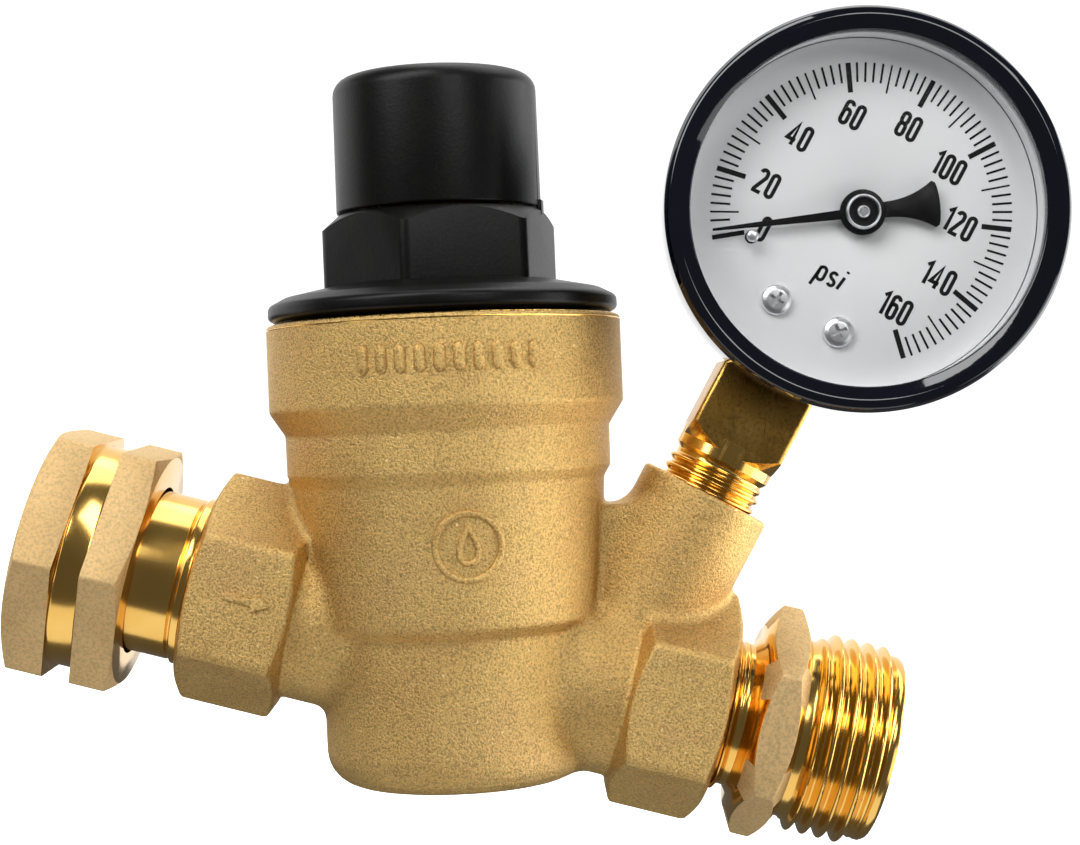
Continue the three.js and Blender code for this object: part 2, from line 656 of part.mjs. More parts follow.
function bourdonTip() {
  const angle = tubeEnd + 6.5 * degree;
  const [x, y] = [tubeRadius * Math.cos(angle), tubeRadius * Math.sin(angle)];
  const block = box([-1.6, -1.6, -3.6], [1.6, 1.6, 5.2]).rotateZ(angle).translate(x, y, 0);
  const ear = box([-4.5, -1, 4.2], [0, 1, 5.2]).rotateZ(angle).translate(x, y, 0);
  const pin = cylinder(0.45, 4.6, 7.3, 12).translate(...tipPin, 0);
  return join(block, ear, pin);
}
place(dial, 'bourdon_tip', bourdonTip(), turnedBrass);

function hairspring() {
  const turns = 2.5;
  const stepsPerTurn = 14;
  const steps = turns * stepsPerTurn;
  const outer = [];
  const inner = [];
  for (let step = 0; step <= steps; step++) {
    const angle = step / stepsPerTurn * 2 * Math.PI;
    const radius = 1.3 + 3 * step / steps;
    outer.push([(radius + 0.1) * Math.cos(angle), (radius + 0.1) * Math.sin(angle)]);
    inner.push([(radius - 0.1) * Math.cos(angle), (radius - 0.1) * Math.sin(angle)]);
  }
  return extrude([...outer, ...inner.reverse()], 3.4, 4.1);
}
place(dial, 'hairspring', hairspring(), bronze);

// ---------- pointer ----------
function pointer() {
  const blade = extrude([
    [-0.75, 0], [-0.2, pointerRadius], [0.2, pointerRadius], [0.75, 0],
    [1, -3], [2.3, -7.2], [2.9, -9.8], [-2.9, -9.8], [-2.3, -7.2], [-1, -3],
  ], 11.2, 11.7);
  const boss = cylinder(2.2, 11.2, 11.7, fine);
  return cut(join(blade, boss), cylinder(1, 11, 12, 12)).rotateZ(pointerRest);
}
place(dial, 'pointer', pointer(), blackEnamel);
place(dial, 'pointer_hub', revolve([
  [0, 12.8], [2.3, 12.8], [2.55, 12.6], [2.55, 12.0], [1, 12.0], [1, 12.65], [0, 12.65],
], fine), polishedSteel);

export default part;
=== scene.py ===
"""Looks of the water pressure regulator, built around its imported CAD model. Blender 4.5.

Shapes are made in millimetres in four local frames, then placed in metres in the part's own frame:
PIPE (z runs with the flow), BONNET (z runs up the bonnet axis), PORT (z runs up the gauge axis) and
DIAL (x right, y up the dial, z out of its face).
"""
import functools
import json
import math

import bmesh
import bpy
import numpy as np
import openvdb
from mathutils import Matrix, Vector


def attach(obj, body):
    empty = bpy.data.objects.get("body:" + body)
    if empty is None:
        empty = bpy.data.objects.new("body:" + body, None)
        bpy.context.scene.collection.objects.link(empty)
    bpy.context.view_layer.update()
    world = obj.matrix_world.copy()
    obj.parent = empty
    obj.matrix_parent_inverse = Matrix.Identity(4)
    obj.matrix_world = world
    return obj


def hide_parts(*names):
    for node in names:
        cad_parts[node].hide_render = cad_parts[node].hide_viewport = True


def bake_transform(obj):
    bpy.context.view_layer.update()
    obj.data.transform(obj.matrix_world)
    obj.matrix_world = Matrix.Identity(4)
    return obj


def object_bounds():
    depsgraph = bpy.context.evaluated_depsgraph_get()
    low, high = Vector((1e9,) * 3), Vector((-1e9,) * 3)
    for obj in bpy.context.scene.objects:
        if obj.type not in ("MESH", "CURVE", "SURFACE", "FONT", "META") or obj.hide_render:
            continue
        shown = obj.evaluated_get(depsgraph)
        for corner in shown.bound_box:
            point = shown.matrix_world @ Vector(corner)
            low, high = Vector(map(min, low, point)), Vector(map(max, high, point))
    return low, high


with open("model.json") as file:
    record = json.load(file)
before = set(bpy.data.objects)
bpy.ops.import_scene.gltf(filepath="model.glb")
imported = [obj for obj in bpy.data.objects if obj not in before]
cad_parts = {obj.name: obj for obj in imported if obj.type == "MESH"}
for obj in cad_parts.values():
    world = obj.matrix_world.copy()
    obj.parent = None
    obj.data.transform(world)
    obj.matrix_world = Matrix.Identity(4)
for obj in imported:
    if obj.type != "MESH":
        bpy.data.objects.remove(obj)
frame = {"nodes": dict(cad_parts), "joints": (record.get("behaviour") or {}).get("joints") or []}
cad_low, cad_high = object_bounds()
joints = {joint["name"]: joint for joint in frame["joints"]}
MM = 0.001

# ---------- places, from the frame ----------
bonnet_axis = Vector(joints["cap_lift"]["axis"])
on_bonnet_axis = Vector(joints["set_screw_turn"]["pos_m"])
body_centre = on_bonnet_axis - bonnet_axis * (on_bonnet_axis.z / bonnet_axis.z)
dial_pivot = Vector(joints["pointer_turn"]["pos_m"])
port_tilt = math.radians(14)
port_foot = Vector((dial_pivot.x - dial_pivot.z * math.tan(port_tilt), 0, 0))
gauge_height = dial_pivot.z / math.cos(port_tilt) / MM
bonnet_tilt = math.atan2(bonnet_axis.x, bonnet_axis.z)

PIPE = Matrix.Translation(body_centre) @ Matrix.Rotation(math.pi / 2, 4, "Y")
BONNET = Matrix.Translation(body_centre) @ Matrix.Rotation(bonnet_tilt, 4, "Y")
PORT = Matrix.Translation(port_foot) @ Matrix.Rotation(port_tilt, 4, "Y")
DIAL = PORT @ Matrix.Translation((0, 0, gauge_height * MM)) @ Matrix.Rotation(math.pi / 2, 4, "X")

# ---------- sizes in millimetres ----------
head_top = 43.5
hex_top = 57.8
cap_top = 76.2
cap_radius = 13.7
body_bottom = -17.6
boss_flats = 27.2
nut_start, nut_end, nut_flats = -57.3, -42.5, 31.0
hose_radius, hose_pitch = 13.45, 2.209
gas_radius, gas_pitch = 10.5, 1.814
outlet_end = 58.3
port_end = 28.7
bezel_radius = 25.8
window_radius = 22.5
dial_front = 10.2
plate_screw_x, plate_screw_y = 4.5, -15
pointer_rest = math.radians(124.4)


# ---------- mesh helpers ----------
def corner_arc(before, corner, after, radius, steps):
    """Points of the arc that rounds one corner of an outline."""
    to_before = (before - corner).normalized()
    to_after = (after - corner).normalized()
    half = to_before.angle(to_after) / 2
    if radius <= 0 or half > math.radians(88):
        return [corner]
    reach = min(radius / math.tan(half), (before - corner).length * 0.49, (after - corner).length * 0.49)
    fit = reach * math.tan(half)
    centre = corner + (to_before + to_after).normalized() * (fit / math.sin(half))
    start = corner + to_before * reach - centre
    turn = start.angle_signed(corner + to_after * reach - centre)
    return [centre + Matrix.Rotation(-turn * k / steps, 2) @ start for k in range(steps + 1)]


def rounded(points, radius=0.3, steps=3, closed=True):
    """An outline of (x, y) or (x, y, corner radius) points with its corners rounded."""
    places = [Vector(point[:2]) for point in points]
    radii = [point[2] if len(point) > 2 else radius for point in points]
    outline = []
    for index, place in enumerate(places):
        if not closed and index in (0, len(places) - 1):
            outline.append(place)
            continue
        after = places[(index + 1) % len(places)]
        outline += corner_arc(places[index - 1], place, after, radii[index], steps)
    return [(point.x, point.y) for point in outline]


def linked(name, data):
    """A new object of some data, in the scene."""
    thing = bpy.data.objects.new(name, data)
    bpy.context.scene.collection.objects.link(thing)
    return thing


def sharpened(thing, angle):
    """Smooth shading, with edges steeper than an angle in degrees left sharp."""
    thing.data.shade_smooth()
    thing.data.set_sharp_from_angle(angle=math.radians(angle))
    return thing


def grid_faces(rows, columns, closed=False):
    """Faces of a grid of points whose rows run right round, and whose last row may join the first."""
    faces = []
    for row in range(rows if closed else rows - 1):
        near, far = row * columns, (row + 1) % rows * columns
        for k in range(columns):
            right = (k + 1) % columns
            faces.append((near + k, near + right, far + right, far + k))
    return faces


def new_object(name, vertices, faces, matrix, sharp=32):
    """A mesh object from vertices in a local frame in millimetres."""
    mesh = bpy.data.meshes.new(name)
    mesh.from_pydata([tuple(v) for v in vertices], [], faces)
    bm = bmesh.new()
    bm.from_mesh(mesh)
    bmesh.ops.remove_doubles(bm, verts=bm.verts, dist=1e-4)
    bmesh.ops.recalc_face_normals(bm, faces=bm.faces)
    bm.to_mesh(mesh)
    bm.free()
    mesh.transform(matrix @ Matrix.Scale(MM, 4))
    return sharpened(linked(name, mesh), sharp)


def revolve(name, profile, matrix, segments=128, sharp=32):
    """Turns (radius, height) points about local z. An outline off the axis closes on itself."""
    vertices = []
    for radius, height in profile:
        for k in range(segments):
            angle = 2 * math.pi * k / segments
            vertices.append((radius * math.cos(angle), radius * math.sin(angle), height))
    faces = grid_faces(len(profile), segments, profile[0][0] > 0)
    return new_object(name, vertices, faces, matrix, sharp)


def turned(name, profile, matrix, segments=128, radius=0.3, steps=3, sharp=32):
    """A turned piece with rounded corners. A profile that starts on the axis also ends there."""
    return revolve(name, rounded(profile, radius, steps, profile[0][0] > 0), matrix, segments, sharp)


def rod(radius, low, high, matrix, segments=128):
    """A plain cylinder on local z, used as a cutting tool."""
    return revolve("rod", [(0, low), (radius, low), (radius, high), (0, high)], matrix, segments)


def beside(matrix, x, y, z=0):
    """A local frame moved sideways by millimetres."""
    return matrix @ Matrix.Translation((x * MM, y * MM, z * MM))


def rectangle(right, top, radius, steps=4, bottom=None):
    """Outline of a rounded rectangle, even about local y."""
    bottom = -top if bottom is None else bottom
    return rounded([(-right, bottom), (right, bottom), (right, top), (-right, top)], radius, steps)


def prism(name, outline, low, high, matrix):
    """An outline of (x, y) points pushed from low to high along local z."""
    count = len(outline)
    vertices = [(x, y, low) for x, y in outline] + [(x, y, high) for x, y in outline]
    faces = [tuple(range(count)), tuple(range(count, 2 * count))]
    faces += [(k, (k + 1) % count, count + (k + 1) % count, count + k) for k in range(count)]
    return new_object(name, vertices, faces, matrix)


def baked(thing):
    """Applies an object's modifiers to its mesh."""
    bpy.context.view_layer.update()
    mesh = bpy.data.meshes.new_from_object(thing.evaluated_get(bpy.context.evaluated_depsgraph_get()))
    thing.modifiers.clear()
    old = thing.data
    thing.data = mesh
    bpy.data.meshes.remove(old)


def combine(thing, tools, operation):
    for tool in tools:
        modifier = thing.modifiers.new(operation, "BOOLEAN")
        modifier.operation = operation
        modifier.solver = "EXACT"
        modifier.object = tool
        baked(thing)
        bpy.data.objects.remove(tool)
    return thing


def bevelled(thing, width, segments):
    """Rounds every clear edge, as real tools leave edges."""
    bm = bmesh.new()
    bm.from_mesh(thing.data)
    bmesh.ops.remove_doubles(bm, verts=bm.verts, dist=1e-6)
    bmesh.ops.dissolve_limit(bm, angle_limit=math.radians(0.5), verts=bm.verts, edges=bm.edges)
    bm.to_mesh(thing.data)
    bm.free()
    modifier = thing.modifiers.new("bevel", "BEVEL")
    modifier.width = width * MM
    modifier.segments = segments
    modifier.limit_method = "ANGLE"
    modifier.angle_limit = math.radians(30)
    modifier.use_clamp_overlap = True
    baked(thing)
    return sharpened(thing, 35)


def hexagon(flats, corner_radius, turn):
    centre = (flats / 2 - corner_radius) / math.cos(math.pi / 6)
    points = []
    for corner in range(6):
        direction = turn + corner * math.pi / 3
        for k in range(5):
            around = direction + math.radians(-30 + 15 * k)
            points.append((
                centre * math.cos(direction) + corner_radius * math.cos(around),
                centre * math.sin(direction) + corner_radius * math.sin(around),
            ))
    return points


def thread(name, profile, start, end, crest, depth, pitch, matrix, runout=1.0, segments=96):
    """A turned outline whose stretch from start to end carries a helical thread.

    profile is a list of (radius, height) points with None where the threaded stretch goes.
    """
    rows = []
    for point in profile:
        if point is not None:
            rows.append((point[0], point[1], 0))
            continue
        count = int((end - start) / pitch * 16)
        rows += [(crest, start + (end - start) * k / count, 1) for k in range(count + 1)]
    vertices = []
    for radius, height, threaded in rows:
        for k in range(segments):
            angle = 2 * math.pi * k / segments
            away = radius
            if threaded:
                phase = ((height - start) / pitch - k / segments) % 1
                wave = 0.5 + 0.5 * math.cos(2 * math.pi * phase)
                fade = min(1, (height - start) / runout, (end - height) / runout)
                away = crest - depth * (1 - (1 - wave) * max(0, fade))
            vertices.append((away * math.cos(angle), away * math.sin(angle), height))
    faces = grid_faces(len(rows), segments, rows[0][0] > 0)
    return new_object(name, vertices, faces, matrix, sharp=60)


def helix(name, radius, wire, low, high, turns, matrix):
    """A coil of round wire."""
    sides, per_turn = 10, 40
    count = turns * per_turn
    vertices = []
    for step in range(count + 1):
        angle = 2 * math.pi * turns * step / count
        height = low + (high - low) * step / count
        for side in range(sides):
            around = 2 * math.pi * side / sides
            reach, rise = radius + wire * math.cos(around), height + wire * math.sin(around)
            vertices.append((reach * math.cos(angle), reach * math.sin(angle), rise))
    faces = [tuple(range(sides)), tuple(range(count * sides, count * sides + sides))]
    return new_object(name, vertices, faces + grid_faces(count + 1, sides), matrix)


# ---------- materials ----------
class Look:
    """A node material built around one Principled shader. Scales are in metres of the object."""

    def __init__(self, name, **sockets):
        self.material = bpy.data.materials.new(name)
        self.material.use_nodes = True
        self.tree = self.material.node_tree
        self.shader = self.tree.nodes["Principled BSDF"]
        self.place = self.node("ShaderNodeTexCoord").outputs["Object"]
        for socket, value in sockets.items():
            self.shader.inputs[socket.replace("_", " ")].default_value = value

    def node(self, kind, inputs=None, **settings):
        made = self.tree.nodes.new(kind)
        for key, value in settings.items():
            setattr(made, key, value)
        for key, value in (inputs or {}).items():
            if isinstance(value, bpy.types.NodeSocket):
                self.tree.links.new(value, made.inputs[key])
            else:
                made.inputs[key].default_value = value
        return made

    def noise(self, scale, detail, roughness=0.5, place=None):
        return self.node("ShaderNodeTexNoise", {
            "Vector": place or self.place, "Scale": scale, "Detail": detail, "Roughness": roughness,
        }).outputs["Fac"]

    def cells(self, scale):
        return self.node("ShaderNodeTexVoronoi", {"Vector": self.place, "Scale": scale}).outputs["Color"]

    def stretched(self, amounts, turn=0):
        spun = self.node("ShaderNodeMapping", {"Vector": self.place, "Rotation": (0, turn, 0)})
        return self.node("ShaderNodeMapping", {"Vector": spun.outputs[0], "Scale": amounts}).outputs[0]

    def ramp(self, value, *stops):
        made = self.node("ShaderNodeValToRGB", {"Fac": value})
        elements = made.color_ramp.elements
        while len(elements) < len(stops):
            elements.new(0.5)
        for element, (position, colour) in zip(elements, stops):
            element.position = position
            element.color = (*colour, 1) if isinstance(colour, tuple) else (colour, colour, colour, 1)
        return made.outputs["Color"]

    def mix(self, factor, a, b, blend="MIX"):
        made = self.node("ShaderNodeMix", {0: factor}, data_type="RGBA", blend_type=blend)
        for socket, value in ((made.inputs[6], a), (made.inputs[7], b)):
            if isinstance(value, bpy.types.NodeSocket):
                self.tree.links.new(value, socket)
            else:
                socket.default_value = (*value, 1)
        return made.outputs[2]

    def colour(self, value):
        self.tree.links.new(value, self.shader.inputs["Base Color"])

    def rough(self, value, low, high):
        spread = self.node("ShaderNodeMapRange", {"Value": value, "To Min": low, "To Max": high})
        self.tree.links.new(spread.outputs[0], self.shader.inputs["Roughness"])

    def bump(self, *layers):
        """Layers of (height, strength, depth in metres), each laid over the one before."""
        normal = None
        for height, strength, depth in layers:
            inputs = {"Height": height, "Strength": strength, "Distance": depth}
            if normal is not None:
                inputs["Normal"] = normal
            normal = self.node("ShaderNodeBump", inputs).outputs[0]
        self.tree.links.new(normal, self.shader.inputs["Normal"])


def cast_brass_look():
    """Shot-blasted casting: satin, with a fine grain, faint rosy clouds and painted glints, a brighter
    colour on scattered tiny cells.
    """
    look = Look("cast_brass", Metallic=1)
    clouds = look.noise(70, 3)
    tones = (0.35, (0.78, 0.50, 0.18)), (0.55, (0.86, 0.58, 0.21)), (0.72, (0.82, 0.53, 0.21))
    grain = look.noise(3400, 3, 0.7)
    speckle = look.ramp(grain, (0.36, 0.48), (0.52, 0.86), (0.66, 1.0))
    tone = look.mix(1.0, look.ramp(clouds, *tones), speckle, "MULTIPLY")
    # painted glints: scattered tiny cells get a brighter brass colour, standing in for grains that catch the
    # light
    painted_glints = look.ramp(look.cells(3600), (0.90, 0.0), (0.97, 1.0))
    look.colour(look.mix(painted_glints, tone, (0.92, 0.70, 0.34)))
    look.rough(grain, 0.38, 0.54)
    look.bump((look.noise(420, 3), 0.25, 0.0003), (grain, 0.9, 0.0002))
    return look.material


def turned_brass_look():
    """Bright turned brass with hair-fine tool marks running round the pipe axis."""
    look = Look("turned_brass", Metallic=1)
    marks = look.noise(1, 2, 0.6, look.stretched((9000, 60, 60)))
    clouds = look.noise(160, 2)
    look.colour(look.ramp(clouds, (0.3, (0.80, 0.47, 0.11)), (0.7, (0.86, 0.54, 0.15))))
    look.rough(marks, 0.13, 0.20)
    look.bump((marks, 0.03, 0.00003))
    return look.material


def tumbled_brass_look():
    """Pale matte brass of the hexagons, rumbled in a barrel."""
    look = Look("tumbled_brass", Metallic=1)
    grain = look.noise(2600, 3, 0.65)
    clouds = look.noise(110, 3)
    tone = look.ramp(clouds, (0.35, (0.74, 0.53, 0.26)), (0.65, (0.80, 0.59, 0.30)))
    speckle = look.ramp(grain, (0.38, 0.78), (0.56, 1.0))
    look.colour(look.mix(1.0, tone, speckle, "MULTIPLY"))
    look.rough(grain, 0.62, 0.78)
    look.bump((look.noise(300, 2), 0.2, 0.0003), (grain, 0.5, 0.00012))
    return look.material


def drawn_brass_look():
    """Bar brass of the gauge socket: semi-bright, speckled and a little tarnished."""
    look = Look("drawn_brass", Metallic=1)
    specks = look.noise(2200, 4, 0.75)
    streaks = look.noise(1, 3, 0.6, look.stretched((1600, 1600, 140), port_tilt))
    tone = look.ramp(look.noise(200, 3), (0.3, (0.52, 0.28, 0.055)), (0.7, (0.68, 0.40, 0.10)))
    dirt = look.ramp(specks, (0.34, 0.55), (0.5, 1.0))
    look.colour(look.mix(1.0, tone, dirt, "MULTIPLY"))
    look.rough(streaks, 0.20, 0.38)
    look.bump((streaks, 0.12, 0.0001), (specks, 0.25, 0.00008))
    return look.material


def plain_metal_look(name, dark, light, roughness):
    look = Look(name, Metallic=1)
    look.colour(look.ramp(look.noise(900, 2), (0.3, dark), (0.7, light)))
    marks = look.noise(2700, 3, 0.6)
    look.rough(marks, *roughness)
    look.bump((marks, 0.05, 0.00004))
    return look.material


def moulded_look(name, dark, light, roughness, grain=2400, depth=0.00006):
    look = Look(name, Specular_IOR_Level=0.22)
    look.colour(look.ramp(look.noise(220, 3), (0.35, dark), (0.65, light)))
    fine = look.noise(grain, 3, 0.6)
    look.rough(fine, *roughness)
    look.bump((look.noise(160, 2), 0.06, 0.0004), (fine, 0.35, depth))
    return look.material


def enamel_look():
    """Gloss black stoving enamel with slight orange peel."""
    look = Look("black_enamel", IOR=1.65)
    tones = (0.3, (0.0008, 0.0012, 0.005)), (0.7, (0.0015, 0.002, 0.009))
    look.colour(look.ramp(look.noise(90, 2), *tones))
    look.rough(look.noise(900, 2), 0.03, 0.06)
    look.bump((look.noise(420, 2), 0.05, 0.0002))
    return look.material


def dial_look():
    """White lacquered dial with a very faint tooth."""
    look = Look("white_enamel")
    look.colour(look.ramp(look.noise(120, 3), (0.3, (0.965, 0.97, 0.98)), (0.7, (0.98, 0.985, 0.99))))
    fine = look.noise(3000, 2)
    look.rough(fine, 0.42, 0.55)
    look.bump((fine, 0.08, 0.00004))
    return look.material


def lens_look():
    """Clear moulded window: mostly see-through, with its own gloss."""
    look = Look("clear_lens", Base_Color=(0.05, 0.05, 0.05, 1), IOR=1.49)
    smudge = look.noise(60, 3)
    look.rough(smudge, 0.02, 0.07)
    alpha = look.node("ShaderNodeMapRange", {"Value": smudge, "To Min": 0.03, "To Max": 0.05})
    look.tree.links.new(alpha.outputs[0], look.shader.inputs["Alpha"])
    return look.material


# name: dark tone, light tone, roughness range
plain_metals = {
    "bronze": ((0.55, 0.30, 0.11), (0.70, 0.42, 0.18), (0.25, 0.4)),
    "steel": ((0.50, 0.51, 0.53), (0.66, 0.67, 0.69), (0.2, 0.36)),
    "chrome_screw": ((0.82, 0.83, 0.85), (0.93, 0.93, 0.95), (0.32, 0.42)),
    "polished_steel": ((0.78, 0.79, 0.83), (0.86, 0.87, 0.90), (0.14, 0.22)),
}
mouldings = {
    "black_plastic": ((0.001, 0.001, 0.001), (0.0025, 0.0025, 0.002), (0.32, 0.42)),
    "pointer_black": ((0.001, 0.001, 0.001), (0.002, 0.002, 0.002), (0.3, 0.4)),
    "print_black": ((0.003, 0.003, 0.003), (0.005, 0.005, 0.005), (0.5, 0.6)),
    "white_rubber": ((0.84, 0.85, 0.87), (0.88, 0.89, 0.90), (0.5, 0.6)),
    "rubber": ((0.010, 0.010, 0.011), (0.02, 0.02, 0.021), (0.6, 0.75), 1800, 0.0001),
}
looks = {
    "cast_brass": cast_brass_look(),
    "turned_brass": turned_brass_look(),
    "tumbled_brass": tumbled_brass_look(),
    "drawn_brass": drawn_brass_look(),
    "black_enamel": enamel_look(),
    "white_enamel": dial_look(),
    "clear_lens": lens_look(),
}
looks |= {name: plain_metal_look(name, *tones) for name, tones in plain_metals.items()}
looks |= {name: moulded_look(name, *tones) for name, tones in mouldings.items()}


def two_looks(thing, first, second, is_second):
    """Gives each face one of two looks, by a test of the face."""
    thing.data.materials.append(looks[first])
    thing.data.materials.append(looks[second])
    for face in thing.data.polygons:
        face.material_index = int(is_second(face))
    return thing


def place_in(matrix, face):
    """Middle of a face in a local frame, in millimetres."""
    return matrix.inverted() @ face.center / MM


def finish(thing, look, body, *nodes, slot=None):
    """Gives a piece its material and body, and hides the CAD nodes that it stands for. Its slot argument is
    not used.
    """
    if not thing.data.materials:
        thing.data.materials.append(looks[look])
    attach(thing, body)
    if nodes:
        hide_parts(*nodes)
    return thing


# ---------- cast body, as a distance field turned into a mesh ----------
table_step = 0.1
table_reach = 60.0
port_x = (port_foot.x - body_centre.x) / MM


def outline_distance(outline, u, v):
    """Distance from points (u, v) to a closed outline, negative inside."""
    nearest = np.full(np.broadcast(u, v).shape, 1e9, np.float32)
    inside = np.zeros(nearest.shape, bool)
    for (u0, v0), (u1, v1) in zip(outline, outline[1:] + outline[:1]):
        du, dv = u1 - u0, v1 - v0
        along = np.clip(((u - u0) * du + (v - v0) * dv) / (du * du + dv * dv + 1e-12), 0, 1)
        nearest = np.minimum(nearest, (u - u0 - along * du) ** 2 + (v - v0 - along * dv) ** 2)
        if dv:
            inside ^= ((v0 > v) != (v1 > v)) & (u < u0 + (v - v0) * du / dv)
    return np.where(inside, -1, 1) * np.sqrt(nearest)


@functools.cache
def turned_table(profile):
    """Distances to a profile over a half plane, on a fine square grid."""
    past_axis = [(-40 if r == 0 else r, h) for r, h in profile]
    across = np.arange(0, table_reach, table_step, np.float32)
    up = np.arange(-table_reach, table_reach, table_step, np.float32)
    return outline_distance(past_axis, across[:, None], up[None, :]).astype(np.float32)


def turned_distance(profile, radius, height):
    """Distance to a solid of revolution, read from the table of its profile."""
    table = turned_table(tuple(profile))
    u = np.minimum(radius / table_step, table.shape[0] - 2)
    v = ((height + table_reach) / table_step).clip(0, table.shape[1] - 2)
    i, j = u.astype(np.int32), v.astype(np.int32)
    u, v = u - i, v - j
    near = table[i, j] * (1 - v) + table[i, j + 1] * v
    far = table[i + 1, j] * (1 - v) + table[i + 1, j + 1] * v
    return near * (1 - u) + far * u


def blend_join(a, b, reach):
    closeness = np.maximum(reach - np.abs(a - b), 0) / reach
    return np.minimum(a, b) - closeness * closeness * reach / 4


def blend_common(a, b, reach):
    return -blend_join(-a, -b, reach)


def hexagon_distance(flats, across, up):
    """Hexagon with flats facing +-across and corners on +-up, its corners eased."""
    reach = 0.7
    leaning = math.cos(math.pi / 6) * up
    half = across / 2
    distance = blend_common(np.abs(across), np.abs(leaning + half), reach)
    return blend_common(distance, np.abs(leaning - half), reach) - flats / 2


# outside of the barrel and head, from the bottom up: radius, height, corner radius
barrel_profile = rounded([
    (0, body_bottom), (17.75, body_bottom, 4.6), (17.85, 2.3, 0.9), (19.7, 3.8, 1.1),
    (20.7, 22.0, 0.7), (21.6, 23.5, 0.7), (21.65, 28.9, 1.0), (23.65, 32.0, 1.0),
    (23.65, head_top, 0.55), (0, head_top),
], steps=6, closed=False)

bonnet_bores = [
    (0, body_bottom + 4), (9.5, body_bottom + 4), (9.5, 10), (17, 10), (17, 31), (20.4, 31),
    (20.4, head_top + 5), (0, head_top + 5),
]


def frames_of(x, y, z):
    """Radius and height about the pipe, bonnet and gauge port axes of points in millimetres."""
    pipe = np.hypot(y, z), x
    lean = math.sin(bonnet_tilt), math.cos(bonnet_tilt)
    bonnet = np.hypot(x * lean[1] - z * lean[0], y), x * lean[0] + z * lean[1]
    slant = math.sin(port_tilt), math.cos(port_tilt)
    from_port = x - port_x
    port = np.hypot(from_port * slant[1] - z * slant[0], y), from_port * slant[0] + z * slant[1]
    return pipe, bonnet, port


def hex_boss(y, z, pipe, ends, chamfers, end_radius):
    low, high = ends
    outer = boss_flats / 2 / math.cos(math.pi / 6)
    envelope = rounded([
        (0, low), (end_radius, low, 0.5), (outer, low + chamfers[0], 0.5),
        (outer, high - chamfers[1], 0.5), (end_radius, high, 0.5), (0, high),
    ], closed=False)
    return blend_common(hexagon_distance(boss_flats, y, z), turned_distance(envelope, *pipe), 0.4)


def passage(x, y, z, start, end, radius):
    """A drilled hole between two (x, z) places."""
    run = np.array([end[0] - start[0], end[1] - start[1]])
    length = np.hypot(*run)
    run = run / length
    along = (x - start[0]) * run[0] + (z - start[1]) * run[1]
    aside = np.hypot((x - start[0]) * run[1] - (z - start[1]) * run[0], y) - radius
    return np.maximum(aside, np.maximum(-along, along - length))


def body_bores(x, y, z):
    pipe, bonnet, port = frames_of(x, y, z)
    bores = turned_distance(bonnet_bores, *bonnet)
    for profile in (
        [(0, -40), (9.7, -40), (9.7, -26), (0, -26)],
        [(0, 18.5), (7, 18.5), (7, 26), (10.8, 26), (10.8, 40), (0, 40)],
    ):
        bores = np.minimum(bores, turned_distance(profile, *pipe))
    for profile in ([(0, 20), (7, 20), (7, 34), (0, 34)], [(0, 0), (2.5, 0), (2.5, 21), (0, 21)]):
        bores = np.minimum(bores, turned_distance(profile, *port))
    bores = np.minimum(bores, passage(x, y, z, (-29, 0), (-5, -7), 5))
    return np.minimum(bores, passage(x, y, z, (9.1, 16.6), (22, 2), 4.5))


def body_outside(x, y, z):
    pipe, bonnet, port = frames_of(x, y, z)
    barrel = turned_distance(barrel_profile, *bonnet)
    inlet_stub = turned_distance([(0, -26), (12.1, -26), (12.1, -4), (0, -4)], *pipe)
    outlet_stub = turned_distance([(0, 4), (12.1, 4), (12.1, 28), (0, 28)], *pipe)
    boss_profile = rounded([(0, 2), (9, 2), (9, port_end, 0.5), (0, port_end)], closed=False)
    gauge_boss = turned_distance(boss_profile, *port)
    web_outline = [(11, 2), (24, 2), (26, 16), (19.5, 24.4), (13, 23)]
    web = blend_common(outline_distance(web_outline, x, z), np.abs(y) - 5.4, 1.5)
    inlet_boss = hex_boss(y, z, pipe, (-35.2, -21.4), (0.9, 1.2), 12.9)
    outlet_boss = hex_boss(y, z, pipe, (23.4, 36.2), (1.4, 1.2), 12.8)
    tree = blend_join(barrel, blend_join(web, gauge_boss, 2.5), 1.0)
    tree = blend_join(tree, blend_join(inlet_stub, inlet_boss, 0.7), 1.6)
    return blend_join(tree, blend_join(outlet_stub, outlet_boss, 0.7), 1.4)


def body_distance(x, y, z):
    return np.maximum(body_outside(x, y, z), -body_bores(x, y, z))


def field_slope(points, reach):
    """Slope of the body's distance field, from places a little to either side."""
    sides = reach * np.eye(3)
    return np.stack([
        body_distance(*(points + side).T) - body_distance(*(points - side).T) for side in sides
    ], axis=1) / (2 * reach)


def middle_of_neighbours(points, quads):
    near = np.concatenate([quads[:, k] for k in range(4)])
    far = np.concatenate([quads[:, (k + 1) % 4] for k in range(4)])
    totals = np.stack([np.bincount(near, points[far, k], len(points)) for k in range(3)], axis=1)
    return totals / np.bincount(near, minlength=len(points))[:, None]


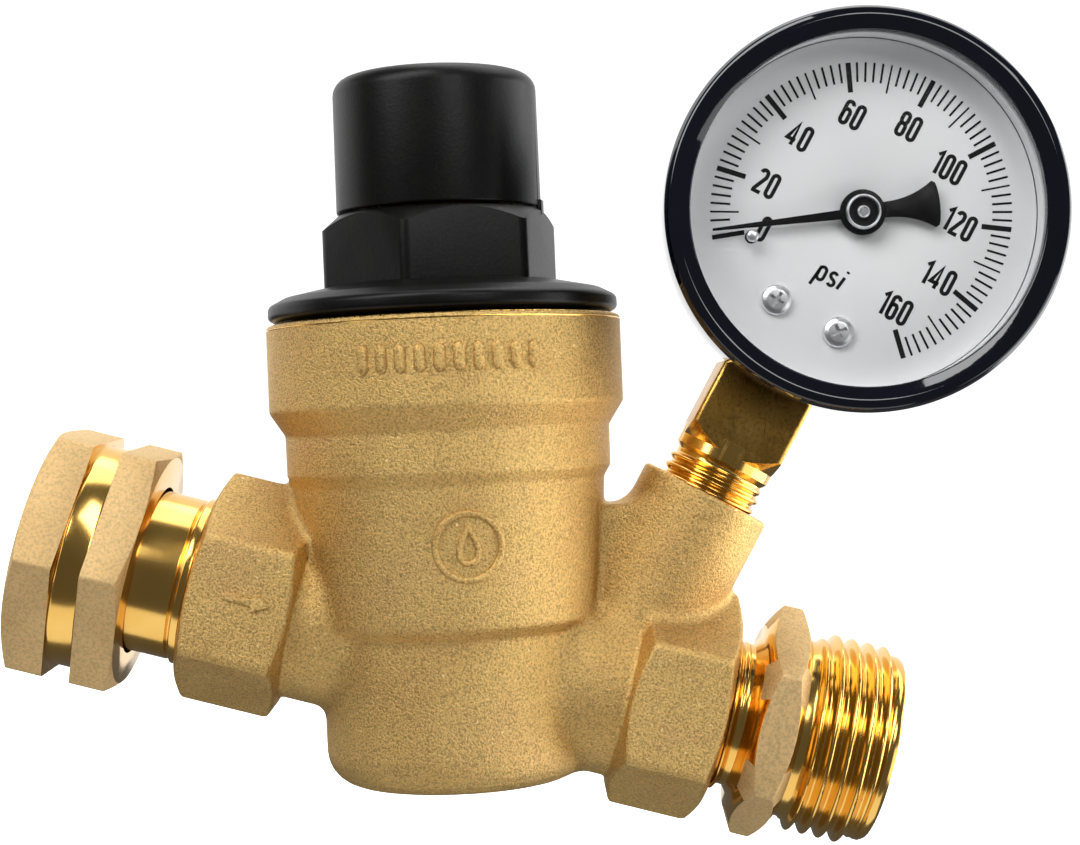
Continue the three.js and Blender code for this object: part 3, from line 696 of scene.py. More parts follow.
def cast_body():
    """Meshes the body's distance field, then slides every vertex onto the true surface."""
    cell = 0.45
    low = np.array([-38.0, -26.0, -24.0])
    high = np.array([40.0, 26.0, 50.0])
    counts = np.ceil((high - low) / cell).astype(int)
    axes = [(low[k] + cell * np.arange(counts[k])).astype(np.float32) for k in range(3)]
    field = np.empty(counts, np.float32)
    for start in range(0, counts[0], 24):
        grid = np.meshgrid(axes[0][start:start + 24], axes[1], axes[2], indexing="ij")
        field[start:start + 24] = body_distance(*grid)
    volume = openvdb.FloatGrid()
    volume.copyFromArray(field)
    points, quads = volume.convertToQuads(isovalue=0)
    points = points.astype(np.float64) * cell + low
    for evening, reach in ((0.6, 0.15), (0.6, 0.15), (0.6, 0.15), (0.5, 0.1), (0.0, 0.05), (0.0, 0.05)):
        slope = field_slope(points, reach)
        step = body_distance(*points.T) / np.maximum((slope ** 2).sum(1), 0.3)
        normal = slope / np.linalg.norm(slope, axis=1)[:, None]
        shift = evening * (middle_of_neighbours(points, quads) - points)
        shift -= normal * (shift * normal).sum(1)[:, None]
        points += shift - slope * step.clip(-cell, cell)[:, None]
    body = new_object("cast_body", points, quads.tolist(), Matrix.Translation(body_centre), sharp=180)
    spots = np.array([vertex.co for vertex in body.data.vertices]) / MM - np.array(body_centre) / MM
    normals = field_slope(spots, 0.16)
    body.data.normals_split_custom_set_from_vertices(normals / np.linalg.norm(normals, axis=1)[:, None])
    centres = points[quads].mean(axis=1)
    _, bonnet, port = frames_of(*centres.T)
    machined = -body_bores(*centres.T) > -0.15
    machined |= bonnet[1] > head_top - 0.1
    machined |= (port[1] > port_end - 0.15) & (port[0] < 9)
    machined |= (centres[:, 0] < -35.1) | (centres[:, 0] > 36.1)
    body.data.materials.append(looks["cast_brass"])
    body.data.materials.append(looks["turned_brass"])
    body.data.polygons.foreach_set("material_index", machined.astype(np.int32))
    return body


# ---------- body and its raised marks ----------
finish(cast_body(), "cast_brass", "root", "regulator_body")

finish(revolve("head_rim", [
    (22.6, head_top - 0.7), (23.66, head_top - 0.75), (23.7, head_top - 0.65), (23.22, head_top - 0.02),
    (23.1, head_top + 0.02), (22.6, head_top + 0.02),
], BONNET, 256), "turned_brass", "root")


def draped(name, path, width, height, surface, closed=False):
    """A low rounded rib of a width and height laid along a path of (across, up) places on a surface."""
    steps = 6
    vertices = []
    count = len(path)
    for index, place in enumerate(path):
        before = path[index - 1] if closed or index else place
        after = path[(index + 1) % count] if closed or index < count - 1 else place
        heading = (Vector(after) - Vector(before)).normalized()
        aside = Vector((-heading.y, heading.x))
        taper = 1.0
        if not closed:
            taper = min(1, 0.45 + 0.55 * min(index, count - 1 - index))
        for step in range(steps + 1):
            angle = math.pi * step / steps
            across = Vector(place) + aside * (math.cos(angle) * width / 2 * taper)
            spot, normal = surface(across.x, across.y)
            vertices.append(spot + normal * (height * taper * math.sin(angle) ** 0.8))
        spot, normal = surface(*place)
        vertices.append(spot - normal * 0.5)
    ring = steps + 2
    faces = grid_faces(count, ring, closed)
    if not closed:
        faces += [tuple(range(ring)), tuple(range((count - 1) * ring, count * ring))]
    return new_object(name, vertices, faces, BONNET, sharp=60)


def barrel_surface(radius_low, radius_high, low, high):
    """Places on the front of a slightly tapered barrel: across is arc length, up is along the axis."""
    def surface(across, up):
        radius = radius_low + (radius_high - radius_low) * (up - low) / (high - low)
        angle = across / radius
        normal = Vector((math.sin(angle), -math.cos(angle), 0))
        return normal * radius + Vector((0, 0, up)), normal
    return surface


def joined(name, things):
    """Several meshes as one object of separate solids."""
    merged = bmesh.new()
    for thing in things:
        merged.from_mesh(thing.data)
        bpy.data.objects.remove(thing)
    mesh = bpy.data.meshes.new(name)
    merged.to_mesh(mesh)
    merged.free()
    return linked(name, mesh)


def drop_outline(height, width):
    """A water drop, point up."""
    points = []
    for k in range(40):
        angle = math.pi * k / 20
        across = width / 2 * math.sin(angle) * math.sin(angle / 2) ** 1.4
        points.append((across, height / 2 * math.cos(angle)))
    return points


def raised_marks():
    barrel = barrel_surface(19.6, 20.7, 4.5, 22)
    head = barrel_surface(23.65, 23.65, 32, 43)
    centre = Vector((2.9, 14.3))
    turns = [math.pi * k / 36 for k in range(72)]
    circle = [(centre.x + 4.2 * math.cos(turn), centre.y + 4.2 * math.sin(turn)) for turn in turns]
    drop = [(centre.x + x, centre.y + 0.2 + y) for x, y in drop_outline(4.6, 3.4)]
    marks = [
        draped("mark_ring", circle, 0.9, 0.45, barrel, closed=True),
        draped("mark_drop", drop, 0.8, 0.45, barrel, closed=True),
    ]
    for bar in range(10):
        across = -9.4 + bar * 2.45
        path = [(across, 36.2 + 0.5 * k) for k in range(8)]
        marks.append(draped("bar", path, 1.5, 0.5, head))
    return joined("raised_marks", marks)


finish(raised_marks(), "cast_brass", "root")


def flow_arrow():
    """Cast arrow on the front flat of the inlet boss."""
    flat = Matrix.Translation(body_centre) @ Matrix.Rotation(math.pi / 2, 4, "X")
    outline = rounded([
        (-3.2, -0.35), (0.9, -0.45), (0.6, -1.35), (3.3, 0.1), (0.8, 1.3), (0.9, 0.45), (-3.2, 0.35),
    ], 0.25)
    outline = [(x - 27.3, y + 0.6) for x, y in outline]
    arrow = prism("flow_arrow_mark", outline, boss_flats / 2 - 0.3, boss_flats / 2 + 0.35, flat)
    return bevelled(arrow, 0.22, 3)


finish(flow_arrow(), "cast_brass", "root", "flow_arrow")


# ---------- inlet ----------
def hex_prism(name, flats, low, high, matrix, *, corner=1.0, turn=0, chamfers, ends):
    """A hexagon whose corners are turned down by a cone at each end."""
    outer = flats / 2 / math.cos(math.pi / 6) + 0.5
    slope_low = chamfers[0] / (flats / 2 / math.cos(math.pi / 6) - ends[0])
    slope_high = chamfers[1] / (flats / 2 / math.cos(math.pi / 6) - ends[1])
    cone = revolve("cone", [
        (0, low), (ends[0], low), (outer, low + slope_low * (outer - ends[0])),
        (outer, high - slope_high * (outer - ends[1])), (ends[1], high), (0, high),
    ], matrix, 160)
    hexagonal = prism(name, hexagon(flats, corner, turn), low - 0.01, high + 0.01, matrix)
    return combine(hexagonal, [cone], "INTERSECT")


def swivel_nut():
    nut = hex_prism(
        "swivel_nut", nut_flats, nut_start, nut_end, PIPE,
        turn=math.radians(33), chamfers=(1.0, 0.8), ends=(nut_flats / 2, nut_flats / 2),
    )
    groove = turned("groove", [
        (nut_flats / 2 - 0.5, nut_start + 5.8), (nut_flats / 2 - 0.5, nut_start + 9.5),
        (nut_flats, nut_start + 9.5), (nut_flats, nut_start + 5.8),
    ], PIPE, 160, 0.35)
    nut = bevelled(combine(nut, [groove], "DIFFERENCE"), 0.3, 2)
    root = hose_radius + 0.25
    plug = thread("plug", [
        (0, nut_start - 1), (root + 1.6, nut_start - 1), (root, nut_start + 0.9), None,
        (root, nut_end - 2.4), (11.4, nut_end - 2.4), (11.4, nut_end + 1), (0, nut_end + 1),
    ], nut_start + 1.0, nut_end - 2.5, root, 1.1, hose_pitch, PIPE)
    nut = combine(nut, [plug], "DIFFERENCE")

    def machined(face):
        place = place_in(PIPE, face)
        at_end = abs(face.normal.x) > 0.97 and abs(place.z - nut_start) < 0.2
        return at_end or math.hypot(place.x, place.y) < nut_flats / 2 - 0.15

    return sharpened(two_looks(nut, "tumbled_brass", "turned_brass", machined), 35)


finish(swivel_nut(), "tumbled_brass", "inlet_nut", "inlet_swivel_nut")

washer_front = -body_centre.x / MM
finish(turned("hose_washer", [
    (8.2, washer_front), (12.3, washer_front), (12.3, washer_front + 2.6), (8.2, washer_front + 2.6),
], PIPE, radius=0.35), "rubber", "root", "inlet_hose_washer")

finish(turned("tailpiece", [
    (7.5, -47), (12.4, -47), (12.4, -45.2), (10.9, -45.2, 0.4), (10.9, -37.2, 0.2), (10.6, -36.9, 0.1),
    (10.6, -36.7, 0.1), (11.3, -36.5, 0.15), (11.3, -35.5, 0.1),
    (9.2, -35.5, 0.1), (9.2, -26.4), (7.5, -26.4),
], PIPE, 160, 0.25), "turned_brass", "root", "inlet_tailpiece")


# ---------- outlet ----------
def outlet_adapter():
    """G 1/2 thread into the body, hexagon, then hose thread, on one water way."""
    crest, hose = gas_radius, hose_radius
    low = thread("adapter", [
        (8.5, 26.5), (crest - 0.9, 26.5), (crest - 0.4, 27), None, (9.6, 38.3), (9.6, 38.8), (11.2, 40),
        (11.2, 42), (8.5, 42),
    ], 27.4, 38.2, crest, 0.95, gas_pitch, PIPE)
    high = thread("high", [
        (8.5, 41), (11.9, 41), (11.9, 46.7), (12.0, 47.0), None, (12.35, 57.0),
        (12.5, 57.3), (12.5, outlet_end - 0.5), (12.2, outlet_end), (8.9, outlet_end),
        (8.5, outlet_end - 0.4),
    ], 47.2, 56.9, hose, 1.25, hose_pitch, PIPE, runout=0.9, segments=144)
    flange = hex_prism(
        "flange", 27.4, 39.7, 45.8, PIPE, corner=0.9, chamfers=(1.9, 1.9), ends=(12.4, 12.4),
    )
    flange = bevelled(combine(flange, [rod(8.9, 38, 48, PIPE)], "DIFFERENCE"), 0.25, 2)
    adapter = combine(low, [high, flange], "UNION")

    def on_flats(face):
        place = place_in(PIPE, face)
        return math.hypot(place.x, place.y) > 13.4 and 39.6 < place.z < 45.9

    return sharpened(two_looks(adapter, "turned_brass", "tumbled_brass", on_flats), 38)


finish(outlet_adapter(), "turned_brass", "root", "outlet_adapter")


# ---------- bonnet, bush and cap ----------
def bonnet():
    moulding = turned("bonnet_moulding", [
        (12.4, 31.5, 0.2), (20, 31.5, 0.5), (20, head_top + 0.4, 0.1), (22.5, head_top + 0.4, 0.4),
        (23.35, head_top + 0.9, 0.7), (23.3, head_top + 2.5, 0.9), (21.2, head_top + 3.6, 2),
        (15.5, head_top + 4.8, 0.8), (13.8, head_top + 5.0, 0.2), (13.8, hex_top - 2.6, 0.1),
        (9.3, hex_top - 2.6, 0.1), (9.3, 54, 0.1), (12.4, 54, 0.4),
    ], BONNET, 192, steps=5)
    grip = hex_prism(
        "grip", 28, head_top + 4, hex_top, BONNET, corner=1.5, turn=math.radians(16),
        chamfers=(0.05, 2.2), ends=(15.9, 13.6),
    )
    hollow = revolve("hollow", [
        (0, 40), (12.8, 40), (12.8, 54.4), (9.3, 54.4), (9.3, 60), (0, 60),
    ], BONNET)
    grip = bevelled(combine(grip, [hollow], "DIFFERENCE"), 0.35, 3)
    return sharpened(combine(moulding, [grip], "UNION"), 32)


finish(bonnet(), "black_plastic", "root", "bonnet")

collar_low = hex_top + 0.3
finish(thread("threaded_bush", [
    (5.9, 54), (9, 54), (9, collar_low), (10.8, collar_low), (10.8, collar_low + 1.2),
    (11.35, collar_low + 1.6), (11.35, collar_low + 2.2), (10.8, collar_low + 2.6), (10.8, 68),
    (10.3, 68.5), (5.9, 68.5), None,
], 68.2, 54.3, 5.3, -0.55, -1.25, BONNET, runout=-1), "turned_brass", "root", "screw_bush")


def cap():
    shell = turned("slip_cap", [
        (0, 74.2), (11.8, 74.2, 0.6), (11.8, collar_low, 0.25), (cap_radius, collar_low, 0.35),
        (cap_radius - 0.1, cap_top, 2.3), (0, cap_top - 0.25),
    ], BONNET, 192, steps=7)
    tab = prism("tab", rounded([(-1.4, 0), (1.4, 0), (1.1, 0.7), (-1.1, 0.7)], 0.2), -1.2, 0.8, (
        BONNET @ Matrix.Rotation(math.radians(-8), 4, "Z")
        @ Matrix.Translation(((cap_radius - 0.35) * MM, 0, (collar_low + 0.1) * MM))
        @ Matrix.Rotation(-math.pi / 2, 4, "Z")
    ))
    shell = combine(shell, [bevelled(tab, 0.2, 2)], "UNION")
    return sharpened(shell, 35)


finish(cap(), "black_plastic", "cap", "adjustment_cap")


# ---------- valve and spring, inside the body ----------
def cartridge():
    sleeve = turned("valve_cartridge", [
        (7.2, -13.3), (9.2, -13.3), (9.2, 5), (7.6, 5), (7.6, 7.4), (9.2, 7.4), (9.2, 9.7),
        (6.4, 9.7), (6.4, 6), (4.2, 4), (4.2, 1.6), (5.2, 1.6), (5.6, 2.4), (7.2, 2.4),
    ], BONNET, 96, 0.15, 2)
    windows = []
    for turn in range(2):
        window = prism("window", [(-12, -3.6), (12, -3.6), (12, 3.6), (-12, 3.6)], -9.6, -1.6,
                       BONNET @ Matrix.Rotation(turn * math.pi / 2, 4, "Z"))
        windows.append(bevelled(window, 0.8, 3))
    sleeve = combine(sleeve, windows, "DIFFERENCE")
    return sharpened(sleeve, 35)


finish(cartridge(), "turned_brass", "root", "seat_cartridge")


def seal_ring(name, radius, section, height):
    circle = [
        (radius + section * math.cos(math.pi * k / 8), height + section * math.sin(math.pi * k / 8))
        for k in range(16)
    ]
    return revolve(name, circle, BONNET, 96)


finish(seal_ring("cartridge_seal", 8.55, 0.75, 6.2), "rubber", "root", "cartridge_oring")
finish(seal_ring("piston_seal", 15.6, 1.15, 18.1), "rubber", "piston_valve", "piston_oring")

# turned pieces on the bonnet axis: name, CAD node, look, body, profile
seal_top = -0.5
turned_pieces = [
    ("stem", "valve_stem", "steel", "piston_valve", [
        (0, -8.8), (1.4, -8.8, 0.4), (1.4, 12.8), (3, 12.8), (3, 14), (1.4, 14), (1.4, 27.6, 0.4),
        (0, 27.6)]),
    ("seal_disc", "valve_seal", "rubber", "piston_valve", [
        (1.7, seal_top - 1.6), (5.3, seal_top - 1.6), (5.3, seal_top), (1.7, seal_top)]),
    ("disc_holder", "valve_disc", "turned_brass", "piston_valve", [
        (1.7, seal_top - 5), (4, seal_top - 5), (6.3, seal_top - 3.4), (6.3, seal_top - 0.7),
        (5.6, seal_top - 0.7), (5.6, seal_top - 1.9), (1.7, seal_top - 1.9)]),
    ("pressure_piston", "piston", "turned_brass", "piston_valve", [
        (1.7, 14.3), (16.4, 14.3), (16.4, 16.7), (14.1, 16.7), (14.1, 19.5), (16.4, 19.5), (16.4, 21.5),
        (15.9, 22), (7.6, 22), (7.6, 24.6), (1.7, 24.6)]),
    ("spring_plate_disc", "spring_seat", "steel", "spring_plate", [
        (0, 43.5), (7.6, 43.5), (7.9, 46), (11.9, 46), (11.9, 48.5), (0, 48.5)]),
]
for name, node, look, body, profile in turned_pieces:
    finish(turned(name, profile, BONNET, 96, 0.18, 2), look, body, node)


def hex_nut(name, flats, low, high):
    ends = flats / 2, flats / 2
    nut = hex_prism(name, flats, low, high, BONNET, corner=0.3, chamfers=(0.35, 0.35), ends=ends)
    return bevelled(combine(nut, [rod(1.7, low - 1, high + 1, BONNET, 64)], "DIFFERENCE"), 0.1, 2)


finish(hex_nut("stem_nut", 5.5, seal_top - 7.6, seal_top - 5.3), "steel", "piston_valve", "valve_nut")
finish(hex_nut("piston_lock_nut", 7, 24.9, 27), "steel", "piston_valve", "piston_nut")

spring = helix("coil_spring", 9.7, 1.4, 23.7, 44.3, 6, BONNET)
spring.data.materials.append(looks["steel"])
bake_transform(spring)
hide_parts("range_spring")


def set_screw():
    screw = thread("set_screw_thread", [
        (0, 48.8), (3, 48.8), (4.4, 50.1), (4.4, 50.4), None, (4.5, 68.5), (3.9, 69.1), (0, 69.1),
    ], 50.6, 68.3, 5, 0.6, 1.25, BONNET)
    slot = prism("slot", [(-6, -0.7), (6, -0.7), (6, 0.7), (-6, 0.7)], 67.2, 70, BONNET)
    screw = combine(screw, [slot], "DIFFERENCE")
    return sharpened(screw, 50)


finish(set_screw(), "turned_brass", "set_screw", "adjusting_screw")


# ---------- gauge socket ----------
def gauge_socket():
    """Square brass bar with a tapered pipe thread below and the movement's seat above."""
    half = 6.5
    case_bottom = gauge_height - 24.3
    stem = thread("gauge_stem", [
        (1.5, 20.6), (5.6, 20.6), (6.0, 21.1), None, (6.2, 32.6), (6.7, 33.2), (6.7, 36), (1.5, 36),
    ], 21.4, 32.5, 6.75, 0.6, 1.411, PORT)
    block = prism("block", rectangle(half, half, 0.7), 34.4, case_bottom - 0.4, PORT)
    cone = revolve("cone", [(0, 34.4), (6.6, 34.4), (9.6, 37.1), (9.6, 50), (0, 50)], PORT, 128)
    block = combine(block, [cone], "INTERSECT")
    block = bevelled(combine(block, [rod(1.5, 30, 60, PORT, 48)], "DIFFERENCE"), 0.3, 2)
    neck = prism("neck", rectangle(5.5, 4.5, 0.6, 3), case_bottom - 1, gauge_height - 18, PORT)
    shoulder = prism(
        "shoulder", rectangle(6.8, 4.5, 0.6, 3, bottom=-1.6), gauge_height - 18.5, gauge_height - 12.5, PORT)
    seat = bevelled(combine(neck, [shoulder], "UNION"), 0.25, 2)
    drilled = [rod(1.5, 30, gauge_height - 15.5, PORT, 48)]
    for side in (-1, 1):
        drilled.append(rod(1.1, -9, -1, beside(DIAL, side * plate_screw_x, plate_screw_y, 5.5), 32))
    seat = combine(seat, drilled, "DIFFERENCE")
    socket = combine(stem, [block, seat], "UNION")

    def machined(face):
        height = place_in(PORT, face).z
        return height < 34.6 or height < 38 and abs(face.normal.dot(PORT.col[2].xyz)) > 0.3

    return sharpened(two_looks(socket, "drawn_brass", "turned_brass", machined), 35)


finish(gauge_socket(), "drawn_brass", "root", "gauge_socket", slot="turned_brass")


# ---------- gauge case, bezel and window ----------
def gauge_case():
    shell = turned("case_shell", [
        (0, -10), (24.3, -10, 1.6), (24.3, 11.5, 0.25), (23.4, 11.5, 0.25), (23.4, -9.1, 0.9), (0, -9.1),
    ], DIAL, 224, steps=5)
    opening = prism("opening", rectangle(5.8, 4.8, 0.8), gauge_height - 30, gauge_height - 15, PORT)
    shell = combine(shell, [opening], "DIFFERENCE")
    return sharpened(shell, 35)


finish(gauge_case(), "polished_steel", "root", "gauge_case")

finish(turned("bezel_ring", [
    (window_radius, 15, 0.1), (window_radius, 16.45, 0.3), (24.3, 17.15, 0.8), (25.35, 16.9, 0.6),
    (bezel_radius, 15.6, 0.8), (bezel_radius, 8.8, 0.3), (25.3, 8.4, 0.2), (24.6, 8.4, 0.1),
    (24.6, 15, 0.1),
], DIAL, 256, steps=5, sharp=50), "black_enamel", "root", "gauge_bezel")

window = turned("window", [(0, 13.5), (24.2, 13.5), (24.2, 14.7), (0, 14.7)], DIAL, 192, 0.25)
finish(window, "clear_lens", "root", "gauge_lens")

finish(turned("window_gasket", [
    (22.75, 10.2), (23.35, 10.2), (23.35, 11.75), (24.2, 11.75), (24.2, 13.2), (22.75, 13.2),
], DIAL, 160, 0.15), "white_rubber", "root", "lens_gasket")


# ---------- dial ----------
zero_angle = math.radians(-1) + 80 * math.radians(1.6875)
per_psi = math.radians(-1.6875)
zero_mark = math.radians(127)  # the scale is compressed below 8 psi


def on_dial(radius, angle):
    """A place at an angle anticlockwise from the top of the dial."""
    return -radius * math.sin(angle), radius * math.cos(angle)


stop_pin = on_dial(14.5, math.radians(130))


def mark(angle, length, width, low, high):
    """A line of the scale, from its outer end inwards."""
    inner, half = 19.5 - length, width / 2
    outline = [(-half, inner), (half, inner), (half, 19.5), (-half, 19.5)]
    return prism("mark", outline, low, high, DIAL @ Matrix.Rotation(angle, 4, "Z"))


def arch(x, y, across, up, start, end):
    """Part of an ellipse between two angles in degrees."""
    places = []
    for k in range(9):
        angle = math.radians(start + (end - start) * k / 8)
        places.append((x + across * math.cos(angle), y + up * math.sin(angle)))
    return places


def bowl(low, high, half):
    return arch(0, high - half, half, half, 180, 0) + arch(0, low + half, half, half, 0, -180)


# strokes of each character, one unit high: half the width, then (path, closed) strokes
figures = {
    "0": (0.145, [(bowl(-0.5, 0.5, 0.145), True)]),
    "1": (0.08, [([(-0.09, 0.32), (0.08, 0.5), (0.08, -0.5)], False)]),
    "2": (0.145, [(arch(0, 0.345, 0.145, 0.145, 180, 0) + [(0.145, 0.2), (-0.15, -0.42), (-0.15, -0.5),
                                                         (0.17, -0.5)], False)]),
    "4": (0.17, [([(0.08, -0.5), (0.08, 0.5), (-0.19, -0.25), (0.19, -0.25)], False)]),
    "6": (0.145, [(bowl(-0.5, 0.13, 0.145), True),
                  (arch(0, 0.345, 0.145, 0.145, 0, 180) + [(-0.145, -0.345)], False)]),
    "8": (0.145, [(bowl(0.03, 0.5, 0.14), True), (bowl(-0.5, 0.03, 0.145), True)]),
    "p": (0.16, [([(-0.22, -0.56), (-0.11, 0.24)], False), (bowl(-0.26, 0.24, 0.13), True)]),
    "s": (0.12, [(arch(0, 0.11, 0.12, 0.12, 30, 250) + arch(0, -0.15, 0.12, 0.12, 70, -150), False)]),
    "i": (0.05, [([(-0.04, -0.27), (0.04, 0.24)], False), ([(0.065, 0.42), (0.075, 0.5)], False)]),
}


def stroke(path, closed, width, low, high, matrix):
    """A flat stroke of ink along a path of (x, y) places."""
    vertices = []
    count = len(path)
    for index, place in enumerate(path):
        before = Vector(path[index - 1] if closed or index else place)
        after = Vector(path[(index + 1) % count] if closed or index < count - 1 else place)
        into, out = Vector(place) - before, after - Vector(place)
        heading = into.normalized() + out.normalized()
        heading.normalize()
        turn = max(0.55, heading.dot((into if into.length else out).normalized()))
        aside = Vector((-heading.y, heading.x)) * width / 2 / turn
        for side, height in ((-1, low), (1, low), (1, high), (-1, high)):
            vertices.append((place[0] + side * aside.x, place[1] + side * aside.y, height))
    faces = grid_faces(count, 4, closed)
    if not closed:
        faces += [(0, 1, 2, 3), (4 * count - 1, 4 * count - 2, 4 * count - 3, 4 * count - 4)]
    return new_object("stroke", vertices, faces, matrix)


def lettering(text, height, weight, gap, place, low, high):
    """Narrow bold figures standing upright in the dial's frame, centred on a place."""
    width = sum(2 * figures[letter][0] * height + gap for letter in text) - gap
    x = place[0] - width / 2
    strokes = []
    for letter in text:
        half, paths = figures[letter]
        x += half * height
        for path, closed in paths:
            placed = [(x + u * height, place[1] + v * height) for u, v in path]
            strokes.append(stroke(placed, closed, weight, low, high, DIAL))
        x += half * height + gap
    return strokes


def dial_plate():
    back = dial_front - 0.6
    section = [(2, back), (22.7, back), (22.7, dial_front), (2, dial_front)]
    plate = turned("dial_disc", section, DIAL, 192, 0.12, 2)
    holes = [rod(1.1, 5, 15, beside(DIAL, side * plate_screw_x, plate_screw_y), 32) for side in (-1, 1)]
    holes.append(rod(0.85, 5, 15, beside(DIAL, *stop_pin), 32))
    plate = combine(plate, holes, "DIFFERENCE")
    return sharpened(plate, 35)


def dial_print():
    """Scale of 0 to 160 psi with its figures, a film of ink on the plate."""
    low, high = dial_front - 0.02, dial_front + 0.03
    marks = [mark(zero_mark, 4.2, 0.6, low, high)]
    for psi in range(8, 161, 2):
        angle = zero_angle + per_psi * psi
        if psi % 20 == 0:
            marks.append(mark(angle, 3.85, 0.66, low, high))
        elif psi % 10 == 0:
            marks.append(mark(angle, 3.7, 0.23, low, high))
        else:
            marks.append(mark(angle, 2.55, 0.28, low, high))
    for psi in range(0, 161, 20):
        angle = zero_angle + per_psi * min(psi, 158) if psi else zero_mark
        place = on_dial(13 if psi > 120 else 12.75, angle)
        marks += lettering(str(psi), 3.0, 0.5, 0.74, place, low, high)
    marks += lettering("psi", 3.5, 0.42, 0.6, (0.3, -9.2), low, high)
    return joined("dial_print", marks)


finish(dial_plate(), "white_enamel", "root", "dial_plate")
finish(dial_print(), "print_black", "root", slot="pointer_black")

finish(turned("stop_pin", [
    (0, 9.2), (0.55, 9.2, 0.1), (0.55, 11.4, 0.1), (0.8, 11.7, 0.3), (0.8, 12.3, 0.4), (0, 12.5),
], beside(DIAL, *stop_pin), 48, steps=5), "chrome_screw", "root", "pointer_stop_pin", slot="steel")


def dial_screw(name, side):
    """Pan-head screw with a cross recess."""
    at = beside(DIAL, side * plate_screw_x, plate_screw_y) @ Matrix.Rotation(side * 0.5 + 0.4, 4, "Z")
    low, high = dial_front + 0.35, dial_front + 2
    screw = turned(name, [
        (0, -1.8), (0.8, -1.8, 0.2), (0.8, dial_front + 0.1, 0.05), (2.0, dial_front + 0.1, 0.12),
        (1.98, dial_front + 0.7, 0.45), (1.3, dial_front + 1.05, 0.6), (0, dial_front + 1.12),
    ], at, 80, steps=6)
    for turn in range(2):
        across = at @ Matrix.Rotation(turn * math.pi / 2, 4, "Z")
        outline = [(-1.05, -0.22), (1.05, -0.22), (1.05, 0.22), (-1.05, 0.22)]
        screw = combine(screw, [prism("wing", outline, low, high, across)], "DIFFERENCE")
    pit = revolve("pit", [(0, low), (0.42, low + 0.4), (0.55, high), (0, high)], at, 24)
    screw = combine(screw, [pit], "DIFFERENCE")
    return sharpened(screw, 40)


for name, node, side in (("plate_screw_1", "dial_screw_1", -1), ("plate_screw_2", "dial_screw_2", 1)):
    finish(dial_screw(name, side), "chrome_screw", "root", node)


# ---------- pointer ----------
def pointer():
    at = DIAL @ Matrix.Rotation(pointer_rest, 4, "Z")
    tail = []
    for k in range(13):
        along = k / 12
        tail.append((1.0 + 2.0 * along ** 2.4, -2.4 - 6.8 * along))
    turns = [math.pi * k / 8 for k in range(1, 8)]
    end = [(2.95 * math.cos(turn), -9.4 - 0.6 * math.sin(turn)) for turn in turns]
    half = [(0.16, 19.4), (0.62, 2.4)] + tail
    blade = prism("pointer_blade", half + end + [(-x, y) for x, y in reversed(half)], 11.2, 11.6, at)
    boss = turned("boss", [(0, 11.15), (2.95, 11.15), (2.95, 11.7), (0, 11.7)], at, 96, 0.15)
    blade = combine(blade, [boss], "UNION")
    return bevelled(combine(blade, [rod(0.95, 11, 12, at, 48)], "DIFFERENCE"), 0.07, 2)


finish(pointer(), "pointer_black", "pointer", "pointer")

hub = turned("hub_cup", [
    (0, 12.15), (0.5, 12.15, 0.05), (0.55, 12.5, 0.12), (0.75, 12.5, 0.1), (0.85, 12.15, 0.08),
    (1.85, 12.15, 0.12), (1.95, 12.85, 0.08), (2.15, 12.85, 0.1), (2.25, 12.5, 0.12), (2.3, 11.95, 0.1),
    (1, 11.95, 0.05), (1, 12.05, 0.03), (0, 12.05),
], DIAL, 96, sharp=45)


def in_hub_floor(face):
    place = place_in(DIAL, face)
    return math.hypot(place.x, place.y) < 1.9 and place.z < 12.3


two_looks(hub, "chrome_screw", "pointer_black", in_hub_floor)
finish(hub, "chrome_screw", "pointer", "pointer_hub")


# ---------- movement ----------
posts = (
    ("pillar", "movement_pillar", 6.2, 3.4, [(0, 3.3), (1.2, 3.3), (1.2, 7.3), (0, 7.3)]),
    ("spacer", "screw_spacer", plate_screw_x, plate_screw_y,
     [(1.1, 3.3), (2, 3.3), (2, 7.3), (1.1, 7.3)]),
)
for index, side in ((1, -1), (2, 1)):
    for name, node, x, y, profile in posts:
        post = turned(f"{name}_{index}", profile, beside(DIAL, side * x, y), 48, 0.12, 2)
        finish(post, "turned_brass", "root", f"{node}_{index}")


def bourdon_tube():
    """C-shaped tube of flattened oval section."""
    start, end = math.radians(-61), math.radians(203)
    steps, sides = 96, 28
    vertices = []
    for step in range(steps + 1):
        angle = start + (end - start) * step / steps
        for side in range(sides):
            around = 2 * math.pi * side / sides
            reach = 17.6 + math.cos(around)
            vertices.append((reach * math.cos(angle), reach * math.sin(angle), 3.4 * math.sin(around)))
    faces = [tuple(range(sides)), tuple(range(steps * sides, (steps + 1) * sides))]
    return new_object("pressure_tube", vertices, faces + grid_faces(steps + 1, sides), DIAL)


tube = bourdon_tube()
tube.data.materials.append(looks["bronze"])
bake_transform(tube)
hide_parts("bourdon_tube")

# CAD pieces whose shape is already right get their materials
kept = {
    "inlet_strainer": "steel", "movement_back_plate": "turned_brass", "movement_front_plate": "turned_brass",
    "pinion_arbor": "steel", "sector_gear": "turned_brass", "connecting_link": "turned_brass",
    "bourdon_tip": "turned_brass", "hairspring": "bronze",
}
for node, look in kept.items():
    mesh = frame["nodes"][node].data
    mesh.materials.clear()
    mesh.materials.append(looks[look])


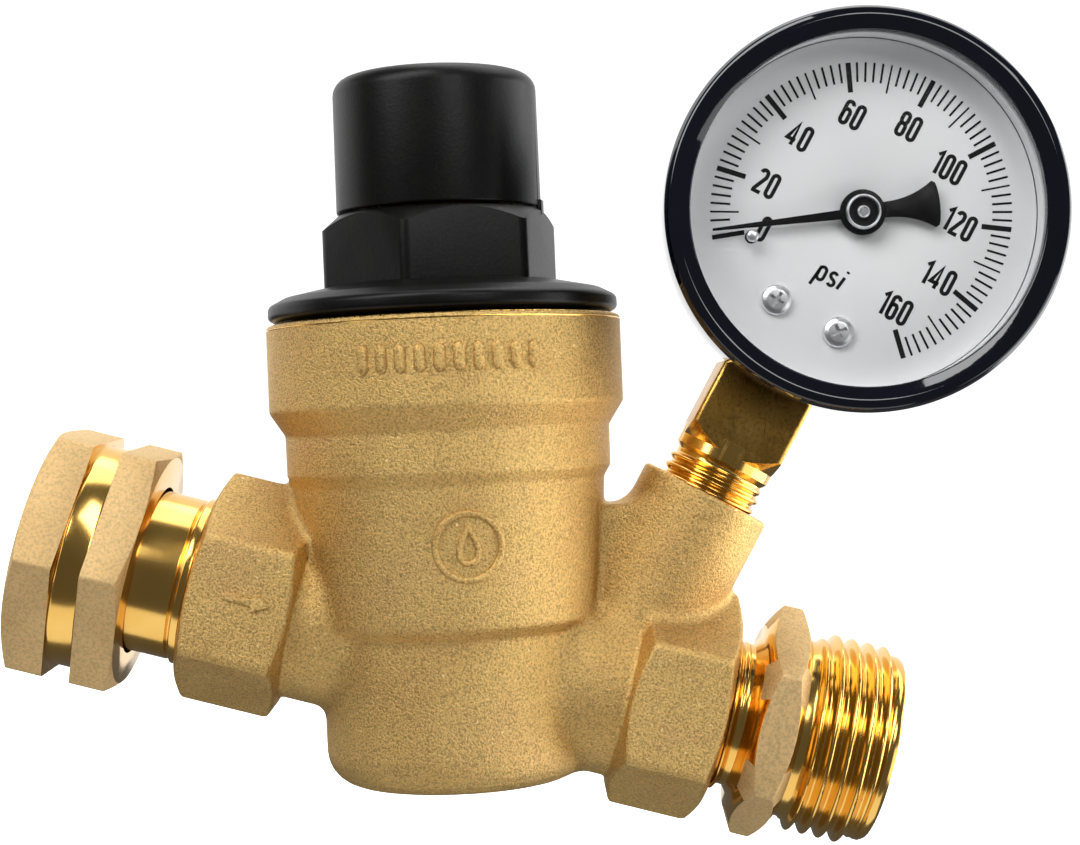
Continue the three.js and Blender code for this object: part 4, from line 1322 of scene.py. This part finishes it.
# ---------- stage, light and camera ----------
def card(name, place, facing):
    """A pale glowing square of the stage, facing a point."""
    look = Look(name, Roughness=0.9, Emission_Color=(1, 1, 1, 1), Emission_Strength=1.0)
    look.colour(look.ramp(look.noise(3, 2), (0.3, 0.8865), (0.7, 0.9)))
    mesh = bpy.data.meshes.new(name)
    mesh.from_pydata([(-4, -4, 0), (4, -4, 0), (4, 4, 0), (-4, 4, 0)], [], [(0, 1, 2, 3)])
    mesh.materials.append(look.material)
    thing = linked(name, mesh)
    thing.location = place
    thing.rotation_euler = (Vector(facing) - Vector(place)).to_track_quat("Z", "Y").to_euler()
    return thing


centre = (cad_low + cad_high) / 2
floor_level = cad_low.z - 0.12
card("backdrop", (centre.x, 2.5, 3.5), (centre.x, 0, 3.5))
floor = card("floor", (centre.x, 0, floor_level), (centre.x, 0, 1))
floor.visible_glossy = False
floor.visible_diffuse = False
floor.visible_shadow = False


def softbox(name, size, place, power, spin=0.0):
    """An area light at a place about the middle of the part, aimed at it and turned about its aim."""
    data = bpy.data.lights.new(name, "AREA")
    data.shape = "RECTANGLE"
    data.size, data.size_y = size
    data.energy = power
    lamp = linked(name, data)
    lamp.location = centre + Vector(place)
    aim = (-Vector(place)).to_track_quat("-Z", "Y").to_matrix()
    lamp.rotation_euler = (aim @ Matrix.Rotation(spin, 3, "Z")).to_euler()
    lamp.visible_camera = False


softbox("key", (0.44, 1.0), (-0.58, -0.62, 0.50), 7.8, math.radians(-38))
softbox("left", (0.5, 0.7), (-0.80, 0.32, -0.10), 1.2)
softbox("right", (0.9, 1.0), (0.85, 0.15, 0.10), 10.5)
softbox("above", (1.0, 0.6), (0.05, 0.12, 0.80), 4.8)
softbox("front", (0.40, 0.25), (0.22, -0.78, 0.42), 1.5)
softbox("low right", (0.40, 0.45), (0.70, -0.42, -0.14), 0.9)
softbox("below", (1.0, 0.52), (0.0, -0.16, -0.60), 1.6)

world = bpy.data.worlds.new("studio")
world.use_nodes = True
sky = world.node_tree.nodes["Background"]
sky.inputs["Color"].default_value = (1, 1, 1, 1)
sky.inputs["Strength"].default_value = 0.11
scene = bpy.context.scene
scene.world = world
scene.view_settings.view_transform = "Standard"


def add_camera():
    """Level view along +Y, rolled so that the part's outlet end hangs low."""
    data = bpy.data.cameras.new("camera")
    data.sensor_width = 36
    data.lens = 66.667
    data.clip_start = 0.01
    camera = linked("camera", data)
    roll = math.radians(13.75)
    right = Vector((math.cos(roll), 0, math.sin(roll)))
    up = Vector((-math.sin(roll), 0, math.cos(roll)))
    turn = Matrix((right, up, Vector((0, -1, 0)))).transposed()
    place = body_centre + Vector((0.00375, -0.2684, 0.03168))
    camera.matrix_world = Matrix.Translation(place) @ turn.to_4x4()
    scene.camera = camera


add_camera()
